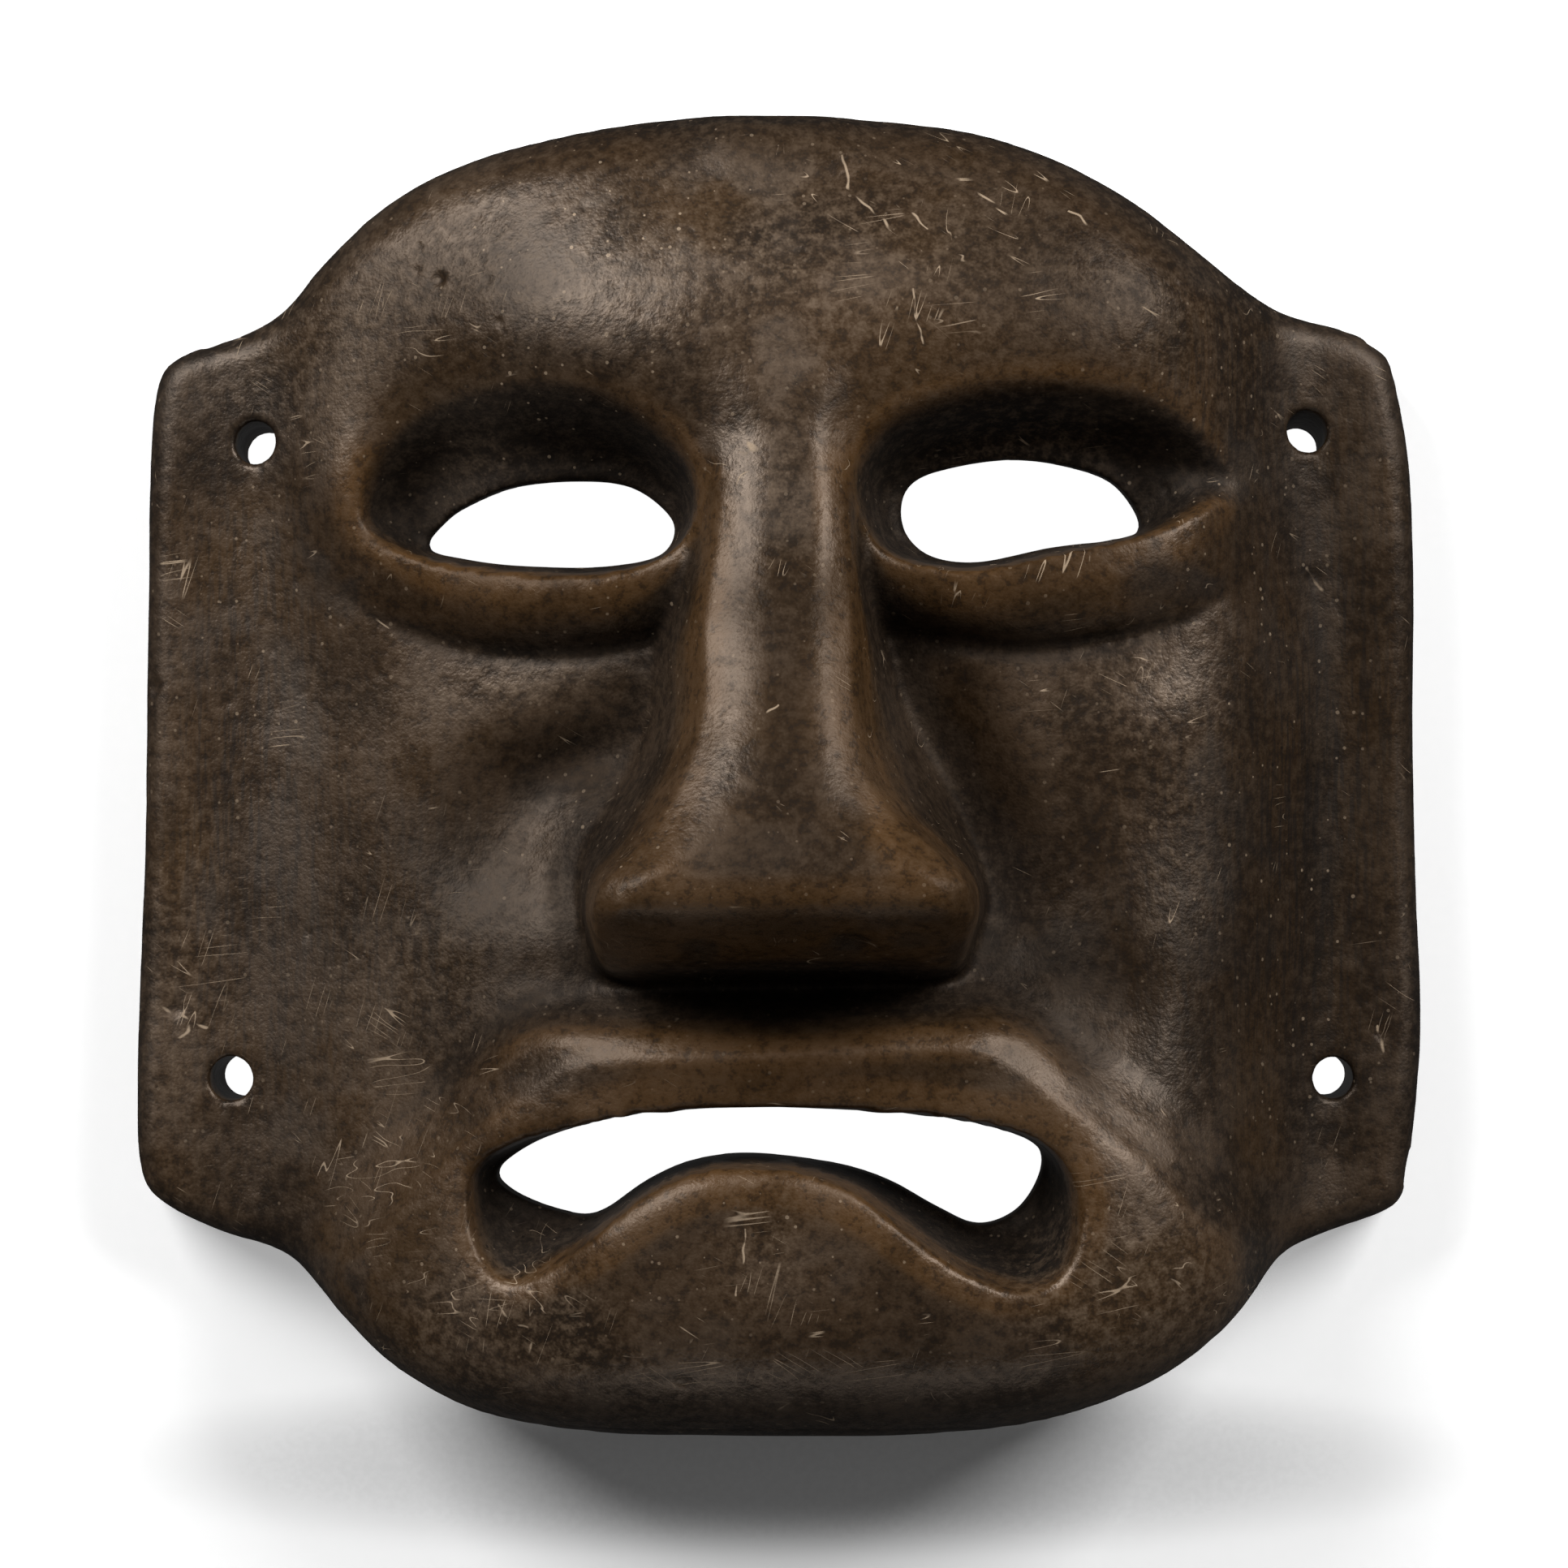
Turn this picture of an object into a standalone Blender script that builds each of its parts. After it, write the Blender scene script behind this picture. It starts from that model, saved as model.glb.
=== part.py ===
"""Stone mask, carved in one piece, lying on its back with its face up.

+X is the right of someone who looks at the face, +Y runs to the forehead and +Z out of the face.
The origin is under the middle of the mask, on the ground plane of the back rim. Metres.

The free carving is laid out in steps: 180 across the width, 182 up the height and 68 deep, which
is a millimetre each at the real size. Plate, wall, rim, hollow and bores have sizes of their own.
"""
import math

import bmesh
import bpy
import numpy as np

# Driving dimensions
WIDTH = 0.180              # across the two side plates
HEIGHT = 0.182             # chin to crown
RELIEF = 0.068             # back rim to the tip of the nose
PLATE = 0.013              # thickness of the side plates
WALL = 0.013               # stone left between the face and the hollow back
RIM_LAND = 0.010           # flat land between the outline and the hollow back
HOLLOW_DEPTH = 0.020       # depth of the hollow back
HOLLOW_RUN = 0.022         # how far in from its edge the hollow reaches full depth
HOLLOW_HALF_WIDTH = 0.060  # the hollow stays off the side plates
EYE_EDGE = 0.004           # thickness left at the edge of the eye openings
LIP_EDGE = 0.007           # thickness left at the edge of the mouth opening
LACE_BORE = 0.0064         # lacing holes at the front
LACE_BACK = 0.0088         # and at the back, where the drill came in
LACE_LEAN = 0.0014         # how far the back end of a lacing hole leans to the middle
EDGE_ROLL = 0.26           # rounding of the outer edge, as a share of the height there

# Steps that the carving is laid out in
STEPS_WIDE = 180.0
STEPS_HIGH = 182.0
STEPS_DEEP = 68.0

# Mesh
GRID = 0.0013              # spacing of the carved surface before it is thinned
TRIANGLES = 9400           # triangles left after it is thinned
BELOW = 0.004              # how far blocks and cutters run past what they cut
CURVE_STEPS = 4            # points between two points of an outline

STONE_COLOUR = (0.062, 0.043, 0.028, 1.0)
STONE_ROUGHNESS = 0.48

# Outlines and lines of the carving, in steps from the middle
OUTLINE = [
    (0, 91), (20.5, 89.8), (34, 86.6), (47.6, 79.8), (61.2, 69.8), (70.3, 64.5), (79.5, 62),
    (84, 59.5), (86, 56), (88.2, 44), (89, 28), (88.9, 2), (89.6, -20), (90, -33), (89.3, -46),
    (88.2, -56), (86, -60.8), (77, -64.2), (70.3, -67.2), (64.5, -73.4), (56.8, -80.1),
    (47.6, -85.2), (33, -89.5), (16, -90.9), (-7, -91), (-25, -90.7), (-41, -88.2),
    (-52.7, -82.4), (-60, -75.6), (-66.2, -69), (-71, -66.2), (-78, -64.2), (-86, -60.4),
    (-89.4, -56), (-90, -46), (-89.8, -32), (-88.9, -5), (-88.5, 22), (-88.2, 40),
    (-87.2, 53.5), (-84, 58.3), (-75, 61.4), (-69, 64.8), (-63.5, 71), (-55.4, 78.5),
    (-45.3, 84.2), (-34, 87.6), (-18, 90.3),
]
LEFT_EYE_CUT = [
    (-48.9, 31.4), (-46.5, 35), (-43, 37.3), (-36, 39.8), (-27, 40.5), (-20.4, 39.6),
    (-15.8, 36.3), (-14.5, 33.5), (-16.6, 30.2), (-24, 28.6), (-34, 28.6), (-43, 29.6),
]
LEFT_EYE_RIM = [
    (-58.2, 35.5), (-57.6, 41.7), (-54.2, 47.6), (-47.6, 52.3), (-38.5, 54.8), (-29.5, 54.8),
    (-21.3, 52.2), (-15.2, 47.6), (-11.4, 41), (-11.8, 34.2), (-16, 29.6), (-25, 27.3),
    (-36.3, 27.7), (-47.6, 29.4), (-55.2, 32),
]
RIGHT_EYE_CUT = [
    (16.8, 36), (17.8, 39.6), (21.8, 41.8), (31.2, 43.4), (39.7, 42.4), (46.8, 39.8),
    (50.3, 34.3), (46.3, 32.3), (37.4, 31.2), (27.8, 29.3), (21.5, 29.9), (18, 32.4),
]
RIGHT_EYE_RIM = [
    (10.4, 37.5), (10.9, 44), (14.8, 49), (22.7, 52.4), (33, 54.2), (44.3, 54), (54.3, 51.4),
    (61, 46.3), (64.2, 39.8), (58.4, 36.2), (50, 32.8), (37.4, 29.9), (28, 28.1), (21.3, 28.3),
    (14.3, 30.4),
]
MOUTH_CUT = [
    (-38.9, -55.3), (-35.5, -52), (-29.5, -49.3), (-18, -46.7), (-1, -46), (16, -46.7),
    (27.2, -48.1), (35.3, -51), (36.2, -55.2), (33, -60.4), (27.5, -62.4), (21.5, -59.8),
    (14.8, -56.2), (6.8, -53.7), (-3.4, -52.5), (-11.4, -53.4), (-18.1, -56.2), (-25.2, -60.8),
    (-30.6, -60.3), (-36.3, -58),
]
MOUTH_RIM = [
    (-42.4, -57), (-41, -53.2), (-36.3, -50.4), (-29.5, -48.5), (-18, -46.1), (-1, -45.3),
    (16, -46), (27.2, -47.5), (35.2, -50), (39.4, -54.2), (40.9, -59.8), (40, -65.4),
    (37.4, -68.8), (33.2, -70.1), (27.2, -68.4), (21.5, -65.2), (15.8, -60.8), (10.2, -56.5),
    (3.4, -53.8), (-3.4, -52.9), (-10.2, -53.7), (-17, -56.5), (-23.8, -61.6), (-29.5, -66.3),
    (-35.8, -69.5), (-40, -67.4), (-42.2, -62.6),
]
MUZZLE = [
    (-4, -30.5), (-27, -32), (-37, -36), (-46, -43.5), (-55, -51.5), (-62, -60), (-70, -74),
    (-70, -100), (72, -100), (72, -74), (67, -61), (62, -55), (54, -46.5), (43, -38.5),
    (33, -32), (24, -29.5),
]
LACE_HOLES = [(-75.2, 46.1), (75.0, 47.8), (-79.0, -42.6), (78.0, -42.5)]


# Curves and distances

def smooth_line(points, closed=True):
    """Run a smooth curve through the points and return more points along it."""
    p = np.array(points, float)
    count = len(p)
    t = np.arange(CURVE_STEPS)[:, None] / CURVE_STEPS
    pieces = []
    for i in range(count if closed else count - 1):
        b, c = p[i], p[(i + 1) % count]
        a = p[i - 1] if closed or i else 2 * b - c
        d = p[(i + 2) % count] if closed or i + 2 < count else 2 * c - b
        pieces.append(b + 0.5 * t * ((c - a) + t * ((2 * a - 5 * b + 4 * c - d)
                                                    + t * (3 * (b - c) + d - a))))
    line = np.concatenate(pieces)
    return line if closed else np.vstack([line, p[-1]])


def nearest(line, x, y, closed):
    """Distance to a line, the side of it (1 is left of its travel) and the share of the way."""
    start = np.asarray(line, float)
    end = np.roll(start, -1, 0) if closed else start[1:]
    start = start if closed else start[:-1]
    run = np.hypot(*(end - start).T)
    gone = np.concatenate([[0.0], np.cumsum(run)])
    best = np.full(x.shape, np.inf)
    side = np.ones(x.shape)
    share = np.zeros(x.shape)
    for i, ((ax, ay), (bx, by)) in enumerate(zip(start, end)):
        dx, dy = bx - ax, by - ay
        t = np.clip(((x - ax) * dx + (y - ay) * dy) / (run[i] ** 2 + 1e-12), 0, 1)
        ex, ey = x - ax - t * dx, y - ay - t * dy
        square = ex * ex + ey * ey
        near = square < best
        best = np.where(near, square, best)
        side = np.where(near, np.where(dx * ey - dy * ex >= 0, 1.0, -1.0), side)
        share = np.where(near, (gone[i] + t * run[i]) / gone[-1], share)
    return np.sqrt(best), side, share


def inside(line, x, y):
    """True where a point lies inside the closed line."""
    start = np.asarray(line, float)
    end = np.roll(start, -1, 0)
    result = np.zeros(x.shape, bool)
    for (ax, ay), (bx, by) in zip(start, end):
        if ay != by:
            crosses = (ay > y) != (by > y)
            result ^= crosses & (x < (bx - ax) * (y - ay) / (by - ay) + ax)
    return result


def depth_in(line, x, y):
    """Distance to the closed line, positive inside it."""
    distance = nearest(line, x, y, True)[0]
    return np.where(inside(line, x, y), distance, -distance)


def ease(low, high, value):
    """Rise smoothly from 0 at low to 1 at high."""
    t = np.clip((value - low) / (high - low), 0, 1)
    return t * t * (3 - 2 * t)


def soft_max(a, b, blend):
    """The larger of two heights, with a fillet of about the blend between them."""
    h = np.clip(0.5 + 0.5 * (a - b) / blend, 0, 1)
    return b + (a - b) * h + blend * h * (1 - h)


def soft_min(a, b, blend):
    """The smaller of two heights, with a fillet."""
    return -soft_max(-a, -b, blend)


def profile(value, pairs):
    """Height of a smooth profile that runs through the pairs (place, height)."""
    place = np.array([pair[0] for pair in pairs], float)
    height = np.array([pair[1] for pair in pairs], float)
    slope = np.gradient(height, place)
    value = np.clip(value, place[0], place[-1])
    i = np.clip(np.searchsorted(place, value) - 1, 0, len(place) - 2)
    gap = place[i + 1] - place[i]
    t = (value - place[i]) / gap
    rise = t * t * (3 - 2 * t)
    return (height[i] * (1 - rise) + height[i + 1] * rise
            + gap * t * (1 - t) * (slope[i] * (1 - t) - slope[i + 1] * t))


# Strokes of the chisel

def stroke(z, x, y, line, heights, left, right):
    """A ridge or groove along a line, with its height along it and its width on each side."""
    distance, side, share = nearest(smooth_line(line, False), x, y, False)
    height = np.interp(share, np.linspace(0, 1, len(heights)), heights)
    width = np.where(side > 0, left, right)
    return z + height * np.exp(-(distance / width) ** 2)


def moulding(z, x, y, line, section, shares):
    """Sweep a section along a line, with the share of it that shows along the way."""
    distance, side, share = nearest(smooth_line(line, False), x, y, False)
    strength = np.interp(share, np.linspace(0, 1, len(shares)), shares)
    return z + strength * profile(distance * side, section)


def swell(z, x, y, centre, radii, height, turn=0.0):
    """A soft oval swelling, or a hollow where the height is negative."""
    c, s = math.cos(math.radians(turn)), math.sin(math.radians(turn))
    u = ((x - centre[0]) * c + (y - centre[1]) * s) / radii[0]
    v = ((y - centre[1]) * c - (x - centre[0]) * s) / radii[1]
    return z + height * np.exp(-(u * u + v * v))


def sink(z, x, y, rim, cut, floor, bow, rim_round, dip, roof):
    """Sink a socket from its rounded rim to the edge of the opening through its floor.

    The bow makes the wall steep at the rim. Under the roof it starts gently and then drops.
    """
    from_rim = depth_in(smooth_line(rim), x, y)
    to_cut = np.maximum(-depth_in(smooth_line(cut), x, y), 0)
    t = np.where(from_rim > 0, from_rim / (from_rim + to_cut + 1e-6), 0)
    wall = 1 - (1 - t) ** bow
    under = 0.35 * t + 0.65 * ease(0, 0.86, t)
    z = z + (floor - z) * (wall + (under - wall) * roof)
    return z - rim_round * dip * np.exp(np.minimum(from_rim, 0) / rim_round) * (1 - t)


# The face, feature by feature, in steps

def head_block(x, y):
    """The broad block of the head, standing on the two flat side plates."""
    plate = PLATE / RELIEF * STEPS_DEEP
    ridge = profile(y, [(-95, 31), (-82, 38), (-66, 41.5), (-45, 40.5), (-25, 37), (-8, 33.2),
                        (10, 33), (25, 36), (45, 41), (57, 40.6), (70, 37), (82, 31), (95, 24)])
    left = profile(x, [(-95, 0), (-84, 0), (-78, 0.02), (-72, 0.07), (-66, 0.18), (-60, 0.31),
                       (-52, 0.47), (-44, 0.62), (-36, 0.76), (-28, 0.87), (-15, 0.97), (0, 1)])
    wider = profile(y, [(-95, 2.4), (-60, 2.4), (-36, 2.4), (-20, 4.2), (-4, 5), (14, 5), (28, 2.4),
                        (42, 0), (95, 0)])
    right = profile(x - wider, [(0, 1), (28, 0.98), (38, 0.955), (46, 0.90), (53, 0.80), (59, 0.63),
                                (65, 0.33), (70, 0.11), (75, 0.03), (80, 0.01), (95, 0)])
    return plate + (ridge - plate) * np.where(x < 0, left, right)


def brow_and_lids(z, x, y):
    """Forehead, brow ridges, and the bands and creases under the eyes."""
    z = swell(z, x, y, (-2, 68), (44, 18), 1.6)
    z = swell(z, x, y, (-34, 61), (26, 10), 0.9, 4)
    z = swell(z, x, y, (38, 62), (28, 10), 1.0, -4)
    lid = [(-24, 0), (-15, -0.4), (-8, -1.1), (-3, -2.0), (-1, -2.6), (-0.2, -3.2), (0.7, -2.2),
           (2, -0.4), (3.6, 0.9), (5.5, 1.7), (8, 2.0), (12, 0.8), (17, 0)]
    z = moulding(z, x, y, [(-65, 28), (-56, 22), (-46, 18), (-36, 16.4), (-25, 16.6), (-13, 19)],
                 lid, (0, 0.35, 0.8, 1, 1, 0.6))
    return moulding(z, x, y, [(10, 20), (22, 18.4), (33, 17), (46, 18.4), (57, 22), (68, 29)],
                    lid, (0.6, 1, 1, 1, 0.5, 0))


def cheeks(z, x, y):
    """Cheekbones, and the hollows beside and below the nose."""
    z = swell(z, x, y, (50, 7), (13, 9), 1.8, 8)
    z = swell(z, x, y, (-61, 40), (6, 12), 2.4)
    z = swell(z, x, y, (-27, 2), (12, 6.5), -5.5, 20)
    z = swell(z, x, y, (-37, -9), (10, 9), -3.0, 35)
    z = stroke(z, x, y, [(15, 14), (22, 3), (28, -9), (34, -20), (41, -31)],
               (-3, -5.5, -6, -4.5, -2), 9, 9)
    return swell(z, x, y, (76, 0), (5, 44), -0.8)


def muzzle(z, x, y):
    """Lips and chin, which stand off the cheeks as one form."""
    flank = [(-4, 0), (-1.5, 0.1), (0.5, 0.9), (3.5, 2.7), (6.4, 4.3), (7.6, 5.3), (9, 5.7), (14, 6.0)]
    z = z + profile(depth_in(smooth_line(MUZZLE), x, y), flank)
    z = stroke(z, x, y, [(-44, -47), (-40, -41), (-33.5, -36), (-18, -36.3), (0, -37),
                         (16, -35.8), (31, -35.4), (38.5, -41), (44, -49)],
               (0, 2.4, 3.0, 3.2, 3.2, 3.2, 3.0, 2.4, 0), 2.6, 4.6)
    z = stroke(z, x, y, [(-30, -69), (-20, -61), (-12, -56.6), (-3, -55), (6, -56), (15, -60),
                         (27, -70)], (0, 1.2, 1.8, 2.2, 1.8, 1.2, 0), 3, 6)
    z = swell(z, x, y, (0, -28), (26, 3.6), -2.5)
    return swell(z, x, y, (0, -74), (44, 12), 2.0)


def nose_side(out, y, crest, ground, facet, bevel, foot):
    """One side of the nose: a bevel beside the front facet, and the flank that stands below it."""
    facet, bevel, foot = (profile(y, line) for line in (facet, bevel, foot))
    drop = 3.0
    fall = drop * (out - facet) / (bevel - facet)
    flank = np.maximum(crest - drop - ground, 5.0) * (out - bevel) / (foot - bevel)
    return soft_min(crest - fall, crest - drop - flank, 2.2)


def nose(z, x, y):
    """A wedge with a front facet between bevels, which flares to a broad, flat-bottomed tip."""
    crest = profile(y, [(-60, 0), (-32, 28), (-29, 35), (-26.4, 46), (-24, 55), (-21.6, 61.4),
                        (-19, 66), (-15.5, 68), (-11, 67), (-5, 64.2), (3, 60.4), (17, 54.6), (33, 48.4),
                        (45, 44.5), (56, 41), (66, 31)])
    left = nose_side(
        -x, y, crest, 33.0,
        [(-30, 19), (-18, 21.5), (-14.4, 18.5), (-9.9, 12.3), (-5.3, 9), (2.6, 5.7), (9.4, 4),
         (19.5, 2.9), (34.3, 3.5), (48, 4), (60, 8)],
        [(-30, 22.4), (-24, 24), (-18, 24.8), (-14.4, 23.4), (-9.9, 18.8), (-5.3, 15.6),
         (2.6, 11.9), (9.4, 10.4), (19.5, 10.4), (34.3, 8.8), (48, 10), (60, 14)],
        [(-30, 24.4), (-24, 26), (-17.5, 27.2), (-11, 26.2), (-5.5, 23), (0, 19.4), (6, 17.2),
         (17, 16.2), (33, 13), (48, 15), (60, 22)])
    right = nose_side(
        x, y, crest, 33.0,
        [(-30, 20), (-18, 22.5), (-14.4, 20.5), (-9.9, 14.6), (-5.3, 8.6), (-3, 7.8), (2.6, 6.9),
         (9.4, 6.1), (19.5, 5.4), (34.3, 6.3), (48, 6), (60, 9)],
        [(-30, 23.2), (-24, 24.8), (-18, 25.8), (-14.4, 24.8), (-9.9, 20.3), (-5.3, 15.3),
         (-3, 13.6), (2.6, 11.4), (9.4, 10.5), (19.5, 10.4), (34.3, 9.8), (48, 10), (60, 14)],
        [(-30, 25), (-24, 26.6), (-17.5, 28), (-15.6, 27.8), (-9.7, 25.1), (-3.9, 22),
         (6.1, 16.9), (17.8, 14), (36, 11.4), (48, 13), (60, 22)])
    z = soft_max(z, soft_min(soft_min(left, right, 1.0), crest, 1.3), 2.4)
    for nostril in ((-10.7, -23.4), (9.4, -22.5)):
        z = swell(z, x, y, nostril, (3.0, 1.5), -2.6)
    return z


def face_steps(x, y):
    """Height of the whole face, in steps, with sockets, mouth and rounded outer edge."""
    hollow = HOLLOW_DEPTH / RELIEF * STEPS_DEEP
    eye_floor = hollow + EYE_EDGE / RELIEF * STEPS_DEEP
    lip_floor = hollow + LIP_EDGE / RELIEF * STEPS_DEEP
    z = head_block(x, y)
    for carve in (brow_and_lids, cheeks, muzzle, nose):
        z = carve(z, x, y)
    roof = ease(36, 50, y)
    rim_round = 1.0 + 2.6 * roof
    left_floor = eye_floor - 7.5 * ease(38, 51, -x)
    right_floor = eye_floor - 3.5 * ease(42, 52, x)
    z = sink(z, x, y, LEFT_EYE_RIM, LEFT_EYE_CUT, left_floor, 2.8, rim_round, 0.4, roof)
    z = sink(z, x, y, RIGHT_EYE_RIM, RIGHT_EYE_CUT, right_floor, 2.6, rim_round, 0.4, roof)
    z = sink(z, x, y, MOUTH_RIM, MOUTH_CUT, lip_floor, 2.0, 1.6, 0.5, 0.0)
    from_edge = depth_in(smooth_line(OUTLINE), x, y)
    radius = EDGE_ROLL * z
    roll = np.clip(1 - from_edge / radius, 0, 1)
    return z - radius * (1 - np.sqrt(np.maximum(1 - roll * roll, 0)))


# The same in metres

def to_metres(point):
    """Place of a point given in steps."""
    return (point[0] * WIDTH / STEPS_WIDE, point[1] * HEIGHT / STEPS_HIGH)


def face_height(x, y):
    """Height of the face over the ground."""
    steps = face_steps(x / WIDTH * STEPS_WIDE, y / HEIGHT * STEPS_HIGH)
    return steps * RELIEF / STEPS_DEEP


def hollow_height(x, y):
    """Height of the hollow back over the ground, below it where there is no hollow."""
    edge = [to_metres(point) for point in smooth_line(OUTLINE)]
    from_edge = depth_in(edge, x, y) - RIM_LAND
    from_edge = soft_min(from_edge, HOLLOW_HALF_WIDTH - np.abs(x), 0.01)
    t = np.clip(from_edge / HOLLOW_RUN, -1, 1)
    bowl = HOLLOW_DEPTH * np.sin(t * math.pi / 2)
    sx, sy = x / WIDTH * STEPS_WIDE, y / HEIGHT * STEPS_HIGH
    skin = head_block(sx, sy) * RELIEF / STEPS_DEEP - WALL
    return np.maximum(soft_min(bowl, skin, 0.003), -BELOW / 2)


# Blender objects

def clear_scene():
    """Remove the objects that the scene opens with."""
    for thing in list(bpy.data.objects):
        bpy.data.objects.remove(thing, do_unlink=True)


def new_collection(name, parent=None):
    """A collection of the scene, or of another collection."""
    collection = bpy.data.collections.new(name)
    (parent or bpy.context.scene.collection).children.link(collection)
    return collection


def new_object(name, mesh, collection):
    """An object with the mesh, in the collection."""
    thing = bpy.data.objects.new(name, mesh)
    collection.objects.link(thing)
    return thing


def mesh_from(form, name):
    """Turn a bmesh into a mesh, with its faces pointing out."""
    bmesh.ops.recalc_face_normals(form, faces=form.faces[:])
    mesh = bpy.data.meshes.new(name)
    form.to_mesh(mesh)
    form.free()
    return mesh


def carved_block(name, height, collection):
    """A block whose top is a grid shaped by the height function and whose bottom is flat."""
    form = bmesh.new()
    across, along = round(WIDTH / GRID), round(HEIGHT / GRID)
    bmesh.ops.create_grid(form, x_segments=across, y_segments=along, size=0.5)
    places = np.array([vertex.co[:2] for vertex in form.verts])
    x = places[:, 0] * (WIDTH + BELOW)
    y = places[:, 1] * (HEIGHT + BELOW)
    tops = list(zip(form.verts, x, y, height(x, y)))
    for vertex, px, py, pz in tops:
        vertex.co = (px, py, pz)
    grown = bmesh.ops.extrude_face_region(form, geom=form.faces[:])["geom"]
    for vertex in grown:
        if isinstance(vertex, bmesh.types.BMVert):
            vertex.co.z = -BELOW
    return new_object(name, mesh_from(form, name), collection)


def prism(name, line, low, high, collection):
    """A straight prism on a closed smooth outline given in steps."""
    shape = bpy.data.curves.new(name, "CURVE")
    shape.dimensions = "2D"
    shape.fill_mode = "BOTH"
    shape.extrude = (high - low) / 2
    points = [to_metres(point) for point in smooth_line(line)]
    spline = shape.splines.new("POLY")
    spline.points.add(len(points) - 1)
    for point, (px, py) in zip(spline.points, points):
        point.co = (px, py, 0, 1)
    spline.use_cyclic_u = True
    outline = new_object(name + "_outline", shape, collection)
    view = bpy.context.evaluated_depsgraph_get()
    mesh = bpy.data.meshes.new_from_object(outline.evaluated_get(view))
    bpy.data.objects.remove(outline, do_unlink=True)
    form = bmesh.new()
    form.from_mesh(mesh)
    bmesh.ops.remove_doubles(form, verts=form.verts[:], dist=1e-6)
    bmesh.ops.translate(form, verts=form.verts[:], vec=(0, 0, (high + low) / 2))
    bpy.data.meshes.remove(mesh)
    return new_object(name, mesh_from(form, name), collection)


def lace_drill(name, place, collection):
    """A drill that widens to the back and leans to the middle of the mask."""
    top = PLATE + BELOW * 2
    flare = (LACE_BACK - LACE_BORE) / 2 / PLATE
    lean = math.copysign(LACE_LEAN / PLATE, place[0])
    form = bmesh.new()
    bmesh.ops.create_cone(form, cap_ends=True, segments=20, depth=top + BELOW,
                          radius1=LACE_BACK / 2 + flare * BELOW,
                          radius2=LACE_BORE / 2 - flare * (top - PLATE))
    for vertex in form.verts:
        vertex.co.z += (top - BELOW) / 2
        vertex.co.x += place[0] + lean * (vertex.co.z - PLATE)
        vertex.co.y += place[1]
    return new_object(name, mesh_from(form, name), collection)


def ground_box(collection):
    """The stone ground off the back, so that the rim lies flat."""
    form = bmesh.new()
    bmesh.ops.create_cube(form, size=1.0)
    size = (WIDTH + 4 * BELOW, HEIGHT + 4 * BELOW, 2 * BELOW)
    bmesh.ops.scale(form, verts=form.verts[:], vec=size)
    bmesh.ops.translate(form, verts=form.verts[:], vec=(0, 0, -BELOW))
    return new_object("ground", mesh_from(form, "ground"), collection)


def cut(thing, cutter, operation="DIFFERENCE"):
    """Cut one object with another, or with all the objects of a collection."""
    boolean = thing.modifiers.new(cutter.name, "BOOLEAN")
    boolean.solver = "EXACT"
    boolean.operation = operation
    if isinstance(cutter, bpy.types.Collection):
        boolean.operand_type = "COLLECTION"
        boolean.collection = cutter
    else:
        boolean.object = cutter


def set_aside(collection):
    """Show the cutters as wire and keep them out of renders."""
    for cutter in collection.all_objects:
        cutter.hide_render = True
        cutter.display_type = "WIRE"


def settle(thing):
    """Replace the mesh by what its modifiers make of it, in triangles."""
    view = bpy.context.evaluated_depsgraph_get()
    mesh = bpy.data.meshes.new_from_object(thing.evaluated_get(view))
    form = bmesh.new()
    form.from_mesh(mesh)
    bmesh.ops.triangulate(form, faces=form.faces[:])
    form.to_mesh(mesh)
    form.free()
    thing.modifiers.clear()
    thing.data = mesh


def stone_material():
    """Brown stone with a worn polish."""
    material = bpy.data.materials.new("stone")
    material.use_nodes = True
    shader = material.node_tree.nodes["Principled BSDF"]
    shader.inputs["Base Color"].default_value = STONE_COLOUR
    shader.inputs["Roughness"].default_value = STONE_ROUGHNESS
    shader.inputs["Metallic"].default_value = 0.0
    return material


def build_mask(parts, cutters):
    """Carve the mask: face, outline, hollow back, openings and lacing holes."""
    mask = carved_block("stone_mask", face_height, parts)
    top = RELIEF + BELOW
    cut(mask, prism("outline", OUTLINE, -2 * BELOW, top, cutters), "INTERSECT")
    cut(mask, carved_block("hollow", hollow_height, cutters))
    openings = new_collection("openings", cutters)
    lines = {"left_eye": LEFT_EYE_CUT, "right_eye": RIGHT_EYE_CUT, "mouth": MOUTH_CUT}
    for name, line in lines.items():
        prism(name, line, -2 * BELOW, top, openings)
    for number, place in enumerate(LACE_HOLES, 1):
        lace_drill(f"lace_drill_{number}", to_metres(place), openings)
    cut(mask, openings)
    soften = mask.modifiers.new("soften", "SMOOTH")
    soften.factor = 0.5
    soften.iterations = 2
    settle(mask)
    thin = mask.modifiers.new("thin", "DECIMATE")
    thin.ratio = TRIANGLES / len(mask.data.polygons)
    cut(mask, ground_box(cutters))
    set_aside(cutters)
    mask.data.materials.clear()
    mask.data.materials.append(stone_material())
    mask.data.shade_smooth()
    mask.data.set_sharp_from_angle(angle=math.radians(50))
    return mask


def main():
    """Build the mask in a cleared scene."""
    clear_scene()
    build_mask(new_collection("stone_mask"), new_collection("cutters"))


main()
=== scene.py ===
"""Looks of the stone mask: the worn carving in full detail, its finish, floor, lights and camera.

The mask lies on its back with its face up, in the frame of its solid: +X is the right of someone
who looks at the face, +Y runs to the forehead and +Z out of the face. Metres.

The carving is laid out in steps, as in its solid: 180 across the width, 182 up the height and 68
deep, which is a millimetre each at the real size.
"""
import logging
import math
from collections.abc import Callable, Sequence
from dataclasses import dataclass, field
from enum import Enum
from functools import cached_property

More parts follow.
